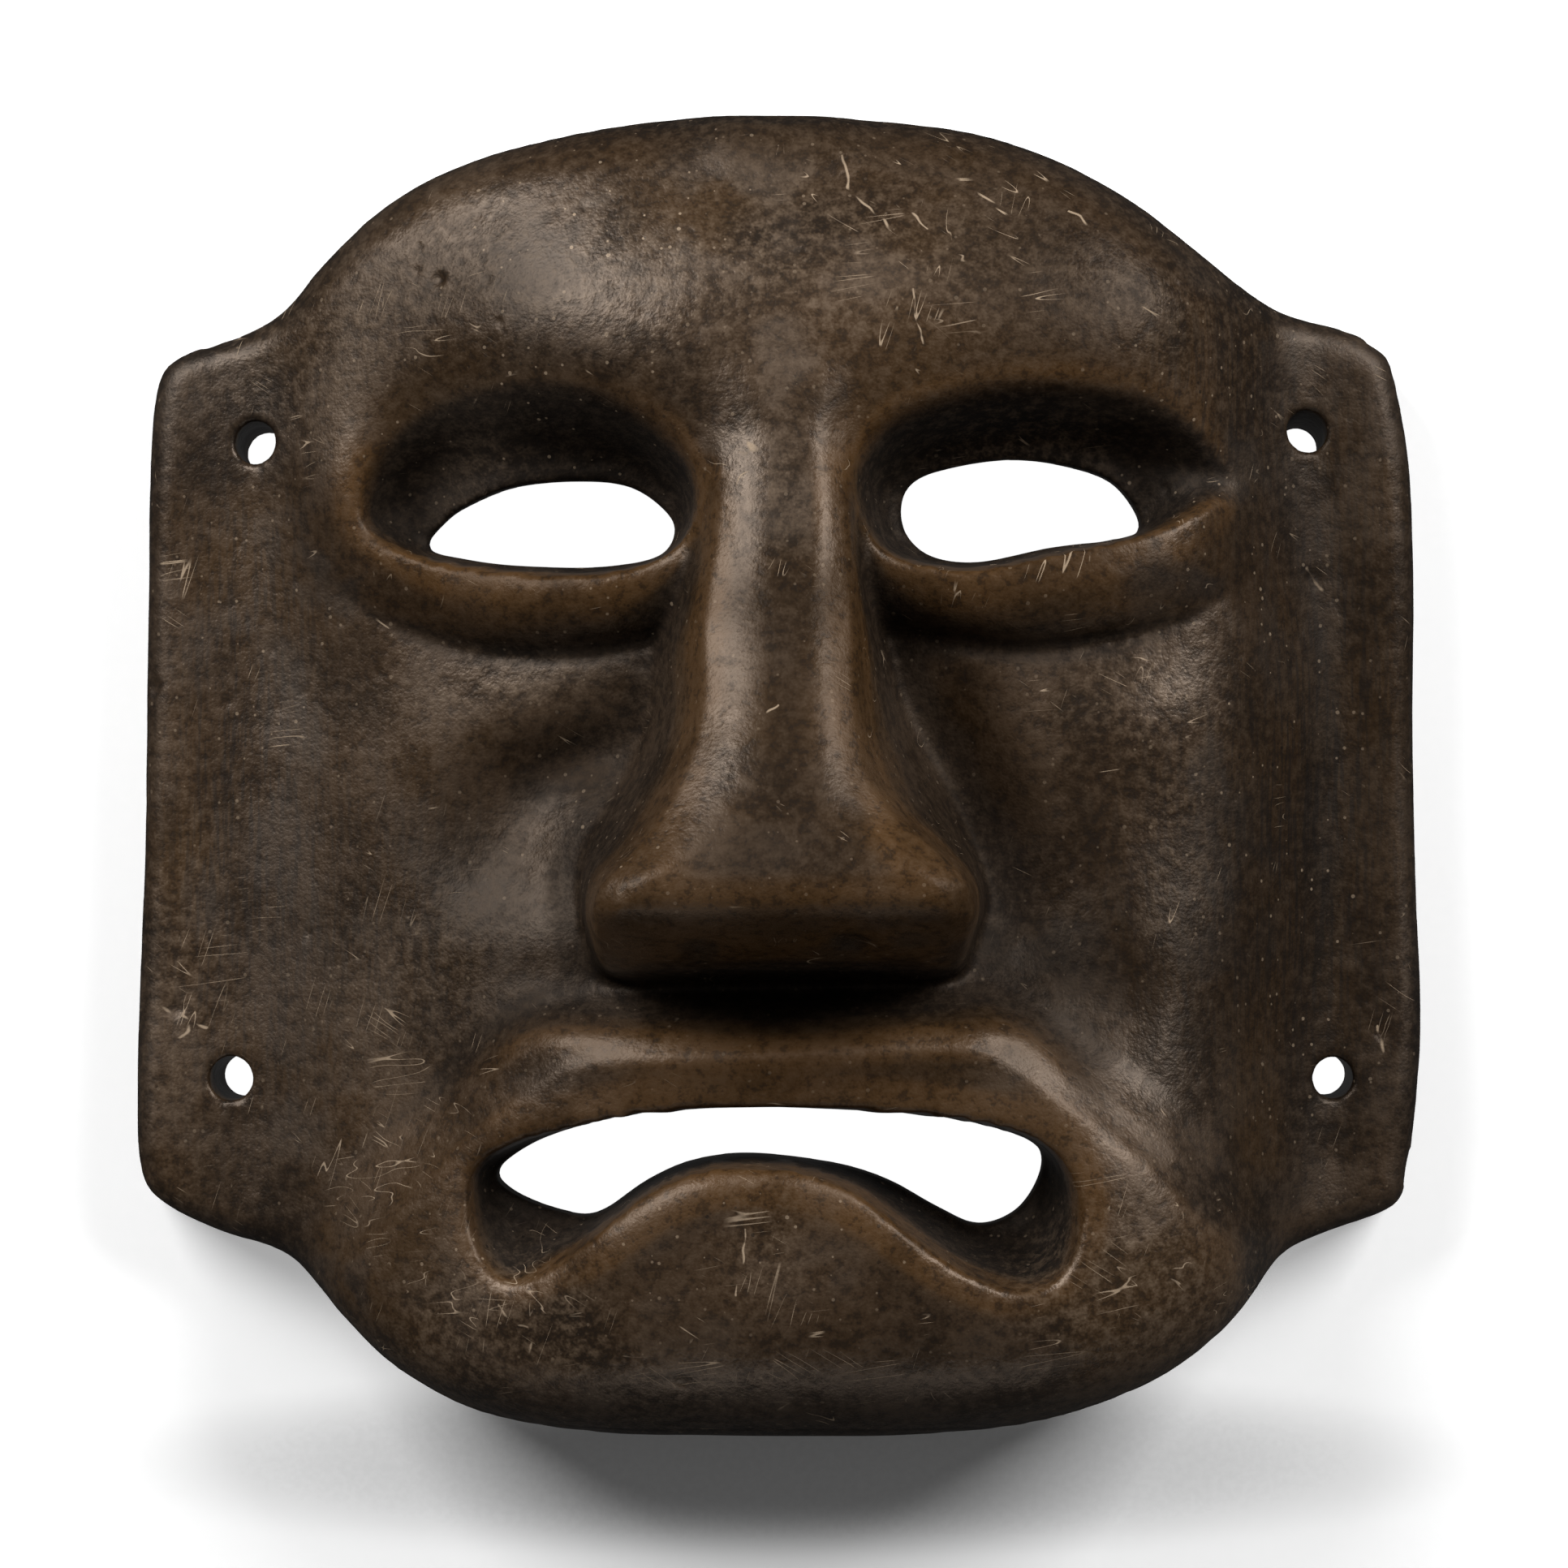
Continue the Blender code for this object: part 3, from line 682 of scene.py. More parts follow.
# Each row: middle across and along, reach across and along, share, turn in degrees
WEAR_AND_PAINTED_LIGHT_ROWS: dict[Wear, tuple[tuple[float, ...], ...]] = {
    Wear.AMBER: (
        (2, 8, 5, 12, 0.9), (0, -12, 16, 7, 0.4), (9, 46, 4, 8, 0.9), (-38, 22, 16, 4, 0.8),
        (38, 22, 22, 4, 0.6), (-28, 3, 14, 9, 1), (32, -4, 15, 15, 0.9),
        (-38, -42, 6, 9, 0.8, 40), (-52, -50, 9, 12, 0.7, 40), (0, -37, 34, 3, 0.7),
        (10, -59, 12, 4, 0.7), (28, 62, 26, 8, 0.7), (48, -52, 10, 9, 0.4),
        (-58, 0, 10, 20, 0.35), (-56, 38, 4, 10, 0.8), (40, 54, 20, 4, 0.6),
        (68, -20, 6, 22, 0.4), (0, 88, 40, 4, 0.5), (-84, -10, 5, 40, 0.3)),
    # Painted shade: places darkened and dulled as if they lay in shade.
    Wear.SHADED: (
        (28, -8, 15, 20, 0.8), (56, -17, 12, 13, 0.8), (-53, 37, 5, 8, 1), (72, -2, 12, 62, 0.7),
        (60, -24, 12, 20, 0.2), (-45, -35, 8, 7, 0.6), (1, 10, 4.5, 28, 1), (0, -12, 12, 8, 1),
        (40, -22, 15, 13, 0.7), (40, 68, 30, 17, 1), (-28, 1, 12, 7, 0.6), (26, 22, 16, 4, 0.6),
        (-26, 22, 16, 4, 0.6), (0, -27, 26, 8, 0.7), (-38, -34, 14, 10, 0.6, 50),
        (0, 90, 60, 7, 1), (10, 16, 3, 18, 0.7), (-22, -11, 8, 5, 0.7), (24, -10, 8, 5, 0.7),
        (0, -40, 24, 4, 0.6), (30, 26, 24, 5, 0.9, 6), (-34, 25, 22, 5, 0.9, -4),
        (84, 0, 6, 50, 0.6), (-54, -12, 20, 24, 0.55), (-42, -16, 14, 11, 0.5),
        (-46, 64, 22, 14, 0.9), (0, -89, 55, 5, 0.8), (-38, 23, 14, 4, 0.5),
        (-30, 28, 18, 4, 0.4), (36, 34, 40, 22, 0.3)),
    Wear.SOOT: (
        (-22, 74, 20, 8, 0.9, 10), (-72, 8, 12, 30, 0.5), (-58, 30, 8, 8, 0.7),
        (-60, -72, 12, 7, 0.7, -30), (62, -6, 10, 30, 0.6), (30, -65, 14, 8, 0.6),
        (68, 48, 8, 14, 0.7), (-46, -14, 10, 10, 0.4, 30), (52, 28, 16, 5, 0.6),
        (40, -24, 14, 10, 0.4), (20, -24, 20, 6, 0.6), (-68, -46, 10, 8, 0.4),
        (56, 66, 14, 6, 0.6, -35)),
    # Places polished by rubbing, partly painted sheen where the face would catch the light.
    Wear.RUBBED_AND_SHEEN: (
        (-36, 11.5, 13, 4, 0.7), (54, 12, 8, 7, 0.3), (0, 70, 34, 14, 0.7), (-36, -76, 12, 7, 1),
        (48, -69, 11, 8, 1), (33, 47, 12, 5, 1), (0, 38, 5, 10, 0.5), (54, -6, 5, 12, 0.5),
        (-60, 60, 16, 8, 0.6, 30), (-42, 44, 10, 6, 0.2), (48, 9, 12, 8, 0.3),
        (-84, -30, 5, 30, 0.6), (-40, -76, 12, 7, 0.8), (46, -72, 12, 8, 0.8),
        (-2, -64, 6, 9, 0.7), (-12, -82, 12, 6, 0.5), (56, 60, 14, 12, 0.4, -30),
        (-50, -30, 12, 12, 0.3)),
    Wear.SCORED: (
        (-84, 28, 5, 8, 1), (-80, -29, 8, 8, 1), (-36, -72, 10, 7, 1), (47, -70, 9, 8, 1),
        (-4, -64, 6, 10, 0.9), (-12, -82, 10, 5, 0.7), (48, 10, 12, 8, 0.9), (26, 76, 24, 9, 0.7),
        (-54, -38, 8, 20, 0.7, 20), (-46, 60, 14, 8, 0.5, 20), (-50, -6, 10, 14, 0.5),
        (40, 28, 16, 4, 0.5), (22, 58, 12, 10, 0.5), (-2, -78, 44, 12, 0.35),
        (84, -30, 5, 16, 0.5), (-60, -56, 12, 10, 0.6)),
    Wear.PITTED: (
        (-24, 76, 22, 9, 1, 10), (-34, 50, 22, 8, 0.9), (56, 50, 12, 14, 0.7, -40),
        (-72, 20, 12, 30, 0.5), (64, 12, 9, 24, 0.6), (-20, 20, 10, 8, 0.4), (0, -62, 30, 8, 0.6),
        (-40, -66, 12, 8, 0.6), (74, -20, 8, 30, 0.6), (-26, -10, 10, 8, 0.5)),
    Wear.STREAKED: (
        (-74, 0, 13, 50, 1), (76, 0, 12, 50, 1), (60, 52, 12, 16, 0.7, -20),
        (-50, -20, 16, 20, 0.6), (56, -20, 14, 30, 0.6)),
}
WEAR_AND_PAINTED_LIGHT_REGIONS = {kind: tuple(Region(*row) for row in rows) for kind, rows in WEAR_AND_PAINTED_LIGHT_ROWS.items()}


@dataclass
class Relief:
    """How far the face stands over its smoothed self, for wear, painted highlight and painted shade
    on crests and in hollows.
    """

    face: Face
    spacing: float = 0.0008
    reach: int = 3
    rounds: int = 3

    def __post_init__(self) -> None:
        """Lay the grid out and compare it with its smoothed self."""
        half_x, half_y = self.face.width / 2, self.face.height / 2
        self.across = np.arange(-half_x, half_x, self.spacing)
        self.along = np.arange(-half_y, half_y, self.spacing)
        x, y = np.meshgrid(self.across, self.along)
        z = self.face.front(x.ravel(), y.ravel()).reshape(x.shape)
        smooth = z
        for _ in range(self.rounds):
            smooth = self.spread(self.spread(smooth).T).T
        self.rise = (z - smooth) / MM

    def spread(self, grid: Array) -> Array:
        """Average each row over the places beside it.

        Args:
            grid: heights in rows.

        Returns:
            The averaged heights.
        """
        padded = np.pad(grid, ((0, 0), (self.reach, self.reach)), mode="edge")
        width = 2 * self.reach + 1
        total = np.cumsum(np.pad(padded, ((0, 0), (1, 0))), axis=1)
        return (total[:, width:] - total[:, :-width]) / width

    def at(self, x: Array, y: Array) -> Array:
        """Read the rise.

        Args:
            x: places across, in metres.
            y: places along, in metres.

        Returns:
            The rise at each place, in millimetres.
        """
        column = np.clip((x - self.across[0]) / self.spacing, 0, len(self.across) - 1.001)
        row = np.clip((y - self.along[0]) / self.spacing, 0, len(self.along) - 1.001)
        i, j = column.astype(int), row.astype(int)
        u, v = column - i, row - j
        return ((self.rise[j, i] * (1 - u) + self.rise[j, i + 1] * u) * (1 - v)
                + (self.rise[j + 1, i] * (1 - u) + self.rise[j + 1, i + 1] * u) * v)


@dataclass
class Chip:
    """A chip out of the stone, as a dent with a rough floor."""

    place: Array
    radius: float
    depth: float


@dataclass
class Weathering:
    """Uneven tooling, chips along the outer edge and pits, moved into the mesh of the mask."""

    face: Face
    seed: int = 11
    broad: float = 0.00020
    middle: float = 0.00004
    fine: float = 0.00001
    tooling_sizes: Triple = (0.014, 0.0055, 0.0021)
    edge_chips: int = 46
    edge_chip_radius: Point = (0.7, 1.8)
    edge_chip_depth: Point = (0.15, 0.3)
    pits: int = 70
    pit_radius: Point = (0.5, 0.8)
    pit_depth: Point = (0.12, 0.3)
    pit_everywhere: float = 0.06
    chip_edge: Point = (0.35, 1.25)
    chip_roughness: float = 0.35
    chip_grain: float = 0.0008
    named_chips: tuple[tuple[float, float, float, float], ...] = (
        (88.6, -55.2, 2.4, 1.1), (74.8, 27.2, 1.6, 0.35), (84.3, -36.4, 1.2, 0.3),
        (-87.6, 12, 1.5, 0.5), (-84.5, -33, 1.4, 0.35), (-47, 68, 1.2, 0.35),
        (-88.6, -55, 2.0, 0.6), (70.5, -15, 1.0, 0.3), (-13.2, -82.6, 1.2, 0.25))

    def chips(self) -> list[Chip]:
        """Lay out the chips.

        Returns:
            Those seen on the face, those along the outer edge and the pits.
        """
        draw = np.random.default_rng(self.seed)
        face = self.face
        found = []
        for x, y, radius, depth in self.named_chips:
            px, py = face.to_metres((x, y))
            z = float(face.front(np.array([px]), np.array([py]))[0])
            found.append(Chip(np.array([px, py, max(z, 0.006)]), radius * MM, depth * MM))
        edge = face.to_metres(face.outline.drawn)
        for _ in range(self.edge_chips):
            px, py = edge[draw.integers(len(edge))]
            z = float(face.front(np.array([px * 0.985]), np.array([py * 0.985]))[0])
            radius = draw.uniform(*self.edge_chip_radius) * MM
            found.append(Chip(np.array([px, py, z * draw.uniform(0.05, 0.95)]), radius,
                              radius * draw.uniform(*self.edge_chip_depth)))
        tried = draw.uniform(-1, 1, (self.pits * 6, 2)) * (88, 89)
        shares = covered(WEAR_AND_PAINTED_LIGHT_REGIONS[Wear.PITTED], tried[:, 0], tried[:, 1])
        kept = tried[draw.uniform(0.05, 1, len(tried)) < shares + self.pit_everywhere]
        kept = kept[:self.pits]
        places = face.to_metres(kept)
        heights = face.front(places[:, 0], places[:, 1])
        for (px, py), z in zip(places, heights):
            radius = draw.uniform(*self.pit_radius) * MM
            found.append(Chip(np.array([px, py, z]), radius,
                              radius * draw.uniform(*self.pit_depth)))
        return found

    def wear(self, places: Array, normals: Array) -> Array:
        """Move the surface as years of use would.

        Args:
            places: the points of the mesh.
            normals: the outward direction at each point.

        Returns:
            The moved points.
        """
        heights = (self.broad, self.middle, self.fine)
        shift = sum(height * grain(places, size, seed) for seed, (height, size)
                    in enumerate(zip(heights, self.tooling_sizes), 1))
        for chip in self.chips():
            reach = np.abs(places - chip.place).max(1) < chip.radius * 1.6
            if reach.any():
                off = places[reach] - chip.place
                far = np.sqrt((off * off).sum(1)) / chip.radius
                rough = 1 + self.chip_roughness * grain(places[reach], self.chip_grain, 7)
                shift[reach] -= chip.depth * (1 - ease(*self.chip_edge, far)) * rough
        return places + normals * shift[:, None]


# Finishes

@dataclass
class Wiring:
    """Short ways to add and join the nodes of one material."""

    material: bpy.types.Material

    @property
    def tree(self) -> bpy.types.NodeTree:
        """Node tree of the material."""
        return self.material.node_tree

    def add(self, kind: str, **settings: object) -> bpy.types.Node:
        """Add a node.

        Args:
            kind: kind of node.
            settings: its settings by name.

        Returns:
            The node.
        """
        node = self.tree.nodes.new("ShaderNode" + kind)
        for name, value in settings.items():
            setattr(node, name, value)
        return node

    def feed(self, socket: Socket, value: object) -> None:
        """Join a socket to another, or set its value.

        Args:
            socket: the socket that is fed.
            value: another socket, or a value.
        """
        if isinstance(value, bpy.types.NodeSocket):
            self.tree.links.new(value, socket)
        else:
            socket.default_value = value

    def maths(self, operation: str, *values: object, clamp: bool = False) -> Socket:
        """Add a sum of one kind.

        Args:
            operation: name of the sum.
            values: numbers or sockets that go in.
            clamp: keep the result from 0 to 1.

        Returns:
            The socket of the result.
        """
        node = self.add("Math", operation=operation, use_clamp=clamp)
        for socket, value in zip(node.inputs, values):
            self.feed(socket, value)
        return node.outputs[0]

    def vector(self, operation: str, *values: object) -> bpy.types.Node:
        """Add a sum of vectors.

        Args:
            operation: name of the sum.
            values: vectors or sockets that go in.

        Returns:
            The node of the sum.
        """
        node = self.add("VectorMath", operation=operation)
        for socket, value in zip(node.inputs, values):
            self.feed(socket, value)
        return node

    def range(self, value: Socket, low: float, high: float, to_low: float = 0.0,
              to_high: float = 1.0) -> Socket:
        """Spread a range of a value smoothly over another range.

        Args:
            value: the value that goes in.
            low: value that gives to_low.
            high: value that gives to_high.
            to_low: start of the new range.
            to_high: end of the new range.

        Returns:
            The socket of the result.
        """
        node = self.add("MapRange", interpolation_type="SMOOTHSTEP")
        for socket, entry in zip(node.inputs, (value, low, high, to_low, to_high)):
            self.feed(socket, entry)
        return node.outputs[0]

    def mix(self, share: object, base: object, over: object) -> Socket:
        """Lay a share of one colour over another.

        Args:
            share: how much of the upper colour shows, from 0 to 1.
            base: the lower colour.
            over: the upper colour.

        Returns:
            The socket of the colour.
        """
        node = self.add("Mix", data_type="RGBA")
        for socket, value in zip((node.inputs[0], node.inputs[6], node.inputs[7]),
                                 (share, base, over)):
            self.feed(socket, value)
        return node.outputs[2]

    def blend(self, *parts: tuple[Socket, float]) -> Socket:
        """Add up values.

        Args:
            parts: each value with its weight.

        Returns:
            The socket of the total.
        """
        total = None
        for value, weight in parts:
            part = self.maths("MULTIPLY", value, weight)
            total = part if total is None else self.maths("ADD", total, part)
        return total

    def noise(self, where: Socket, scale: float, detail: float, rough: float) -> bpy.types.Node:
        """Noise in space.

        Args:
            where: place on the stone.
            scale: bumps in a metre.
            detail: octaves of finer noise.
            rough: strength of the finer noise.

        Returns:
            The node of the noise, with values about 0.5.
        """
        node = self.add("TexNoise")
        for name, value in (("Vector", where), ("Scale", scale), ("Detail", detail),
                            ("Roughness", rough)):
            self.feed(node.inputs[name], value)
        return node

    def cells(self, where: Socket, scale: float) -> bpy.types.Node:
        """Cells in space.

        Args:
            where: place on the stone.
            scale: cells in a metre.

        Returns:
            A node with the distance to the middle of each cell and a chance colour.
        """
        node = self.add("TexVoronoi")
        self.feed(node.inputs["Vector"], where)
        self.feed(node.inputs["Scale"], scale)
        return node

    def channel(self, colour: Socket, index: int) -> Socket:
        """Take one channel of a colour.

        Args:
            colour: the colour.
            index: 0 for red, 1 for green, 2 for blue.

        Returns:
            The socket of the channel.
        """
        split = self.add("SeparateColor")
        self.feed(split.inputs[0], colour)
        return split.outputs[index]

    def stretched(self, where: Socket, size: Triple, turn: float = 0.0) -> Socket:
        """Turn the place about the upright axis and stretch it.

        Args:
            where: place on the stone.
            size: stretch along each axis.
            turn: angle of the turn, in degrees.

        Returns:
            The socket of the new place.
        """
        turned = self.add("VectorRotate", rotation_type="Z_AXIS")
        self.feed(turned.inputs["Vector"], where)
        self.feed(turned.inputs["Angle"], math.radians(turn))
        return self.vector("MULTIPLY", turned.outputs[0], size).outputs[0]

    def worn(self, kind: Wear | Pattern) -> Socket:
        """Share of one kind of wear, painted shade or painted sheen, or value of one pattern, from
        the mesh.
        """
        node = self.add("Attribute", attribute_type="GEOMETRY", attribute_name=kind.value)
        return node.outputs["Fac"]

    def bump(self, height: Socket, depth: float) -> Socket:
        """Bump the surface.

        Args:
            height: height of the bumps, from 0 to 1.
            depth: depth of a height of 1, in metres.

        Returns:
            The socket of the bumped normal.
        """
        node = self.add("Bump")
        self.feed(node.inputs["Distance"], depth)
        self.feed(node.inputs["Height"], height)
        return node.outputs[0]


@dataclass(frozen=True)
class Scratch:
    """A single scratch on the face, from one place to another, in steps."""

    start: Point
    end: Point
    width: float = 0.28
    core: float = 0.3

    def share(self, w: Wiring, flat: Socket) -> Socket:
        """Share of scratch at each place.

        Args:
            w: the material's nodes.
            flat: place on the stone seen from the front.

        Returns:
            The socket of the share.
        """
        start = Vector((*self.start, 0)) * MM
        run = Vector((*self.end, 0)) * MM - start
        away = w.vector("SUBTRACT", flat, start).outputs[0]
        along = w.vector("DOT_PRODUCT", away, run / run.length_squared).outputs["Value"]
        part = w.maths("ADD", along, 0.0, clamp=True)
        reach = w.add("VectorMath", operation="SCALE")
        reach.inputs[0].default_value = run
        w.feed(reach.inputs["Scale"], part)
        gap = w.vector("DISTANCE", away, reach.outputs[0]).outputs["Value"]
        return w.range(gap, self.width * MM, self.width * MM * self.core)


@dataclass(frozen=True)
class Fields:
    """Values over the stone that its colour, its shine and its bumps share."""

    place: Socket
    tint: Socket
    mottle: Socket
    crumb: Socket
    dust: Socket
    spread: Socket
    patch: Socket
    grit: Socket


@dataclass(frozen=True)
class StoneFinish:
    """Dark brown stone, waxed by handling: mottled, pitted, scratched and polished by rubbing, with
    painted shade, sheen and highlight in places.
    """

    deep: Colour = (0.0115, 0.0072, 0.0044, 1)
    body: Colour = (0.0335, 0.0188, 0.0092, 1)
    warm: Colour = (0.0460, 0.0245, 0.0098, 1)
    amber: Colour = (0.0620, 0.0290, 0.0078, 1)
    soot: Colour = (0.0085, 0.0068, 0.0058, 1)
    bloom_and_sheen: Colour = (0.1150, 0.0780, 0.0490, 1)
    honey_and_highlight: Colour = (0.0900, 0.0435, 0.0140, 1)
    pale: Colour = (0.3200, 0.2400, 0.1650, 1)
    pit: Colour = (0.0045, 0.0035, 0.0028, 1)
    gloss_tint: Colour = (1.0, 0.81, 0.66, 1)

    crumb_noise: Triple = (620.0, 2.0, 0.6)
    dust_noise: Triple = (2400.0, 1.0, 0.6)
    bend_noise: Triple = (260.0, 1.0, 0.5)
    spread_weights: Triple = (0.45, 0.43, 0.12)
    patch_weights: Point = (0.7, 0.3)
    grit_weights: Point = (0.7, 0.3)

    body_band: Band = (0.32, 0.60)
    warm_band: Band = (0.44, 0.64)
    warm_share: float = 0.7
    amber_band: Band = (0.34, 0.58, 0.25, 0.85)
    amber_on_crests: float = 0.3
    painted_shade_share: float = 0.75
    honey_and_highlight_band: Band = (0.4, 0.6, 0.2, 0.55)

    soot_band: Band = (0.46, 0.60)
    soot_everywhere: float = 0.15
    soot_and_shade_share: float = 0.85
    bloom_band: Band = (0.42, 0.72)
    bloom_everywhere: float = 0.2
    bloom_and_sheen_share: float = 0.7
    grime_band: Band = (0.48, 0.36, 0.0, 0.5)
    streak_stretch: Triple = (1300.0, 90.0, 1300.0)
    streak_noise: Triple = (1.0, 2.0, 0.65)
    streak_band: Band = (0.46, 0.62, 0.0, 0.75)

    cell_scale: float = 820.0
    dot_reach: float = 0.26
    dot_band: Band = (-0.02, 0.06)
    dots_where_pitted: float = 0.8
    dots_everywhere: float = 0.2
    speck_chance: Band = (0.70, 0.73)
    speck_share: float = 0.8
    hole_chance: Band = (0.34, 0.31)

    scratch_turns: tuple[float, ...] = (-58.0, 18.0, 82.0)
    scratch_stretch: Triple = (700.0, 42.0, 200.0)
    scratch_line: Band = (0.011, 0.003)
    scratch_patch: Band = (0.70, 0.80)
    scratch_bend: float = 0.0022
    scratch_share: float = 0.8
    named: tuple[Scratch, ...] = (
        Scratch((8.6, 85.2), (9.4, 80.6)), Scratch((9.4, 80.6), (15.6, 73.9)),
        Scratch((15.4, 79.4), (20.3, 74.0), 0.22), Scratch((18.2, 66.0), (19.4, 58.2), 0.2),
        Scratch((39.7, 77.2), (44.4, 74.0), 0.22), Scratch((74.0, 28.6), (75.6, 25.6), 0.5),
        Scratch((0.0, 9.2), (-1.9, 7.6), 0.2), Scratch((83.6, -35.8), (84.6, -38.9), 0.35),
        Scratch((-87.0, -32.4), (-80.2, -35.6), 0.3), Scratch((-81.4, -33.2), (-84.0, -37.0), 0.3),
        Scratch((-4.8, -62.0), (-5.6, -70.4), 0.22), Scratch((-38.4, -72.6), (-34.2, -75.4), 0.22))

    rough_band: Band = (0.42, 0.60, 0.31, 0.41)
    rough_by_grit: float = 0.10
    rough_by_amber: float = 0.12
    rough_by_crust_and_shade: float = 0.18
    rough_by_scratch: float = 0.25
    gloss_weights: Point = (0.5, 0.5)
    gloss_band: Band = (0.38, 0.60, 0.30, 0.68)
    gloss_changes: tuple[tuple[Wear, float], ...] = (
        (Wear.SHADED, 0.28), (Wear.CRUST_AND_PAINTED_SHADE, 0.5), (Wear.RUBBED_AND_SHEEN, 1.4))
    bump_weights: Point = (0.5, 0.22)
    bump_depth: float = 0.00022

    def fields(self, w: Wiring) -> Fields:
        """Lay out the shared values.

        Args:
            w: the material's nodes.

        Returns:
            The shared values.
        """
        place = w.add("TexCoord").outputs["Object"]
        tint, mottle = w.worn(Pattern.TINT), w.worn(Pattern.MOTTLE)
        crumb = w.noise(place, *self.crumb_noise).outputs["Fac"]
        dust = w.noise(place, *self.dust_noise).outputs["Fac"]
        spread = w.blend(*zip((mottle, w.worn(Pattern.BROAD), crumb), self.spread_weights))
        return Fields(place, tint, mottle, crumb, dust, spread,
                      w.blend(*zip((mottle, tint), self.patch_weights)),
                      w.blend(*zip((crumb, dust), self.grit_weights)))

    def stone(self, w: Wiring, over: Fields) -> Socket:
        """Colour the clean stone, with amber where it is worn thin, a light warm tone on the crests
        for worn edges and painted highlight, and painted shade.

        Args:
            w: the material's nodes.
            over: the shared values.

        Returns:
            The socket of the colour.
        """
        colour = w.mix(w.range(over.spread, *self.body_band), self.deep, self.body)
        warm = w.maths("MULTIPLY", w.range(over.tint, *self.warm_band), self.warm_share)
        colour = w.mix(warm, colour, self.warm)
        crest = w.worn(Wear.CREST)
        amber = w.maths("ADD", w.worn(Wear.AMBER),
                        w.maths("MULTIPLY", crest, self.amber_on_crests), clamp=True)
        amber = w.maths("MULTIPLY", amber, w.range(over.spread, *self.amber_band))
        colour = w.mix(amber, colour, self.amber)
        # Painted shade: the colour is mixed toward the deep colour.
        shaded = w.maths("MULTIPLY", w.worn(Wear.SHADED), self.painted_shade_share)
        colour = w.mix(shaded, colour, self.deep)
        # Crests get a light warm tone: worn edges, and a painted highlight.
        honey_and_highlight = w.maths("MULTIPLY", crest, w.range(over.spread, *self.honey_and_highlight_band))
        return w.mix(honey_and_highlight, colour, self.honey_and_highlight)

    def dirt(self, w: Wiring, over: Fields, colour: Socket) -> Socket:
        """Lay sooty patches and painted shade, paler patches from rubbing with painted sheen, grime
        and streaks over the stone.

        Args:
            w: the material's nodes.
            over: the shared values.
            colour: colour of the stone.

        Returns:
            The socket of the colour.
        """
        # Sooty patches, joined with the crusting share, which is painted shade in the sockets and
        # along the outer edge and painted shade with dirt in the hollows.
        soot = w.maths("ADD", w.worn(Wear.SOOT), self.soot_everywhere, clamp=True)
        soot = w.maths("MULTIPLY", soot, w.range(over.patch, *self.soot_band))
        soot = w.maths("MULTIPLY", w.maths("MAXIMUM", soot, w.worn(Wear.CRUST_AND_PAINTED_SHADE)), self.soot_and_shade_share)
        colour = w.mix(soot, colour, self.soot)
        # Paler patches from rubbing, partly a painted sheen.
        bloom_and_sheen = w.maths("ADD", w.worn(Wear.RUBBED_AND_SHEEN), self.bloom_everywhere, clamp=True)
        bloom_and_sheen = w.maths("MULTIPLY", bloom_and_sheen, w.range(over.grit, *self.bloom_band))
        colour = w.mix(w.maths("MULTIPLY", bloom_and_sheen, self.bloom_and_sheen_share), colour, self.bloom_and_sheen)
        colour = w.mix(w.range(over.grit, *self.grime_band), colour, self.soot)
        streak = w.noise(w.stretched(over.place, self.streak_stretch), *self.streak_noise)
        streak = w.range(streak.outputs["Fac"], *self.streak_band)
        return w.mix(w.maths("MULTIPLY", w.worn(Wear.STREAKED), streak), colour, self.soot)

    def dots(self, w: Wiring, over: Fields, colour: Socket) -> Socket:
        """Dot the stone with pale specks and dark holes.

        Args:
            w: the material's nodes.
            over: the shared values.
            colour: colour under the dots.

        Returns:
            The socket of the colour.
        """
        pitted = w.maths("MULTIPLY", w.worn(Wear.PITTED), self.dots_where_pitted)
        pitted = w.maths("ADD", pitted, self.dots_everywhere)
        cell = w.cells(over.place, self.cell_scale)
        chance, reach = (w.channel(cell.outputs["Color"], i) for i in (0, 1))
        near = w.maths("SUBTRACT", w.maths("MULTIPLY", reach, self.dot_reach),
                       cell.outputs["Distance"])
        dot = w.maths("MULTIPLY", w.range(near, *self.dot_band), pitted)
        specks = w.maths("MULTIPLY", dot, w.range(chance, *self.speck_chance))
        holes = w.maths("MULTIPLY", dot, w.range(chance, *self.hole_chance))
        colour = w.mix(w.maths("MULTIPLY", specks, self.speck_share), colour, self.pale)
        return w.mix(holes, colour, self.pit)

    def hairlines(self, w: Wiring, place: Socket) -> Socket:
        """Hairline scratches in a few directions, in patches.

        Args:
            w: the material's nodes.
            place: place on the stone.

        Returns:
            Socket of the share of scratch, from 0 to 1.
        """
        found = None
        for patches, turn in zip(SCORE_PATTERNS, self.scratch_turns):
            bent = w.stretched(place, self.scratch_stretch, turn)
            field_value = w.noise(bent, 1.0, 0.0, 0.5).outputs["Fac"]
            off = w.maths("ABSOLUTE", w.maths("SUBTRACT", field_value, 0.5))
            line = w.range(off, *self.scratch_line)
            line = w.maths("MULTIPLY", line, w.range(w.worn(patches), *self.scratch_patch))
            found = line if found is None else w.maths("MAXIMUM", found, line)
        return found

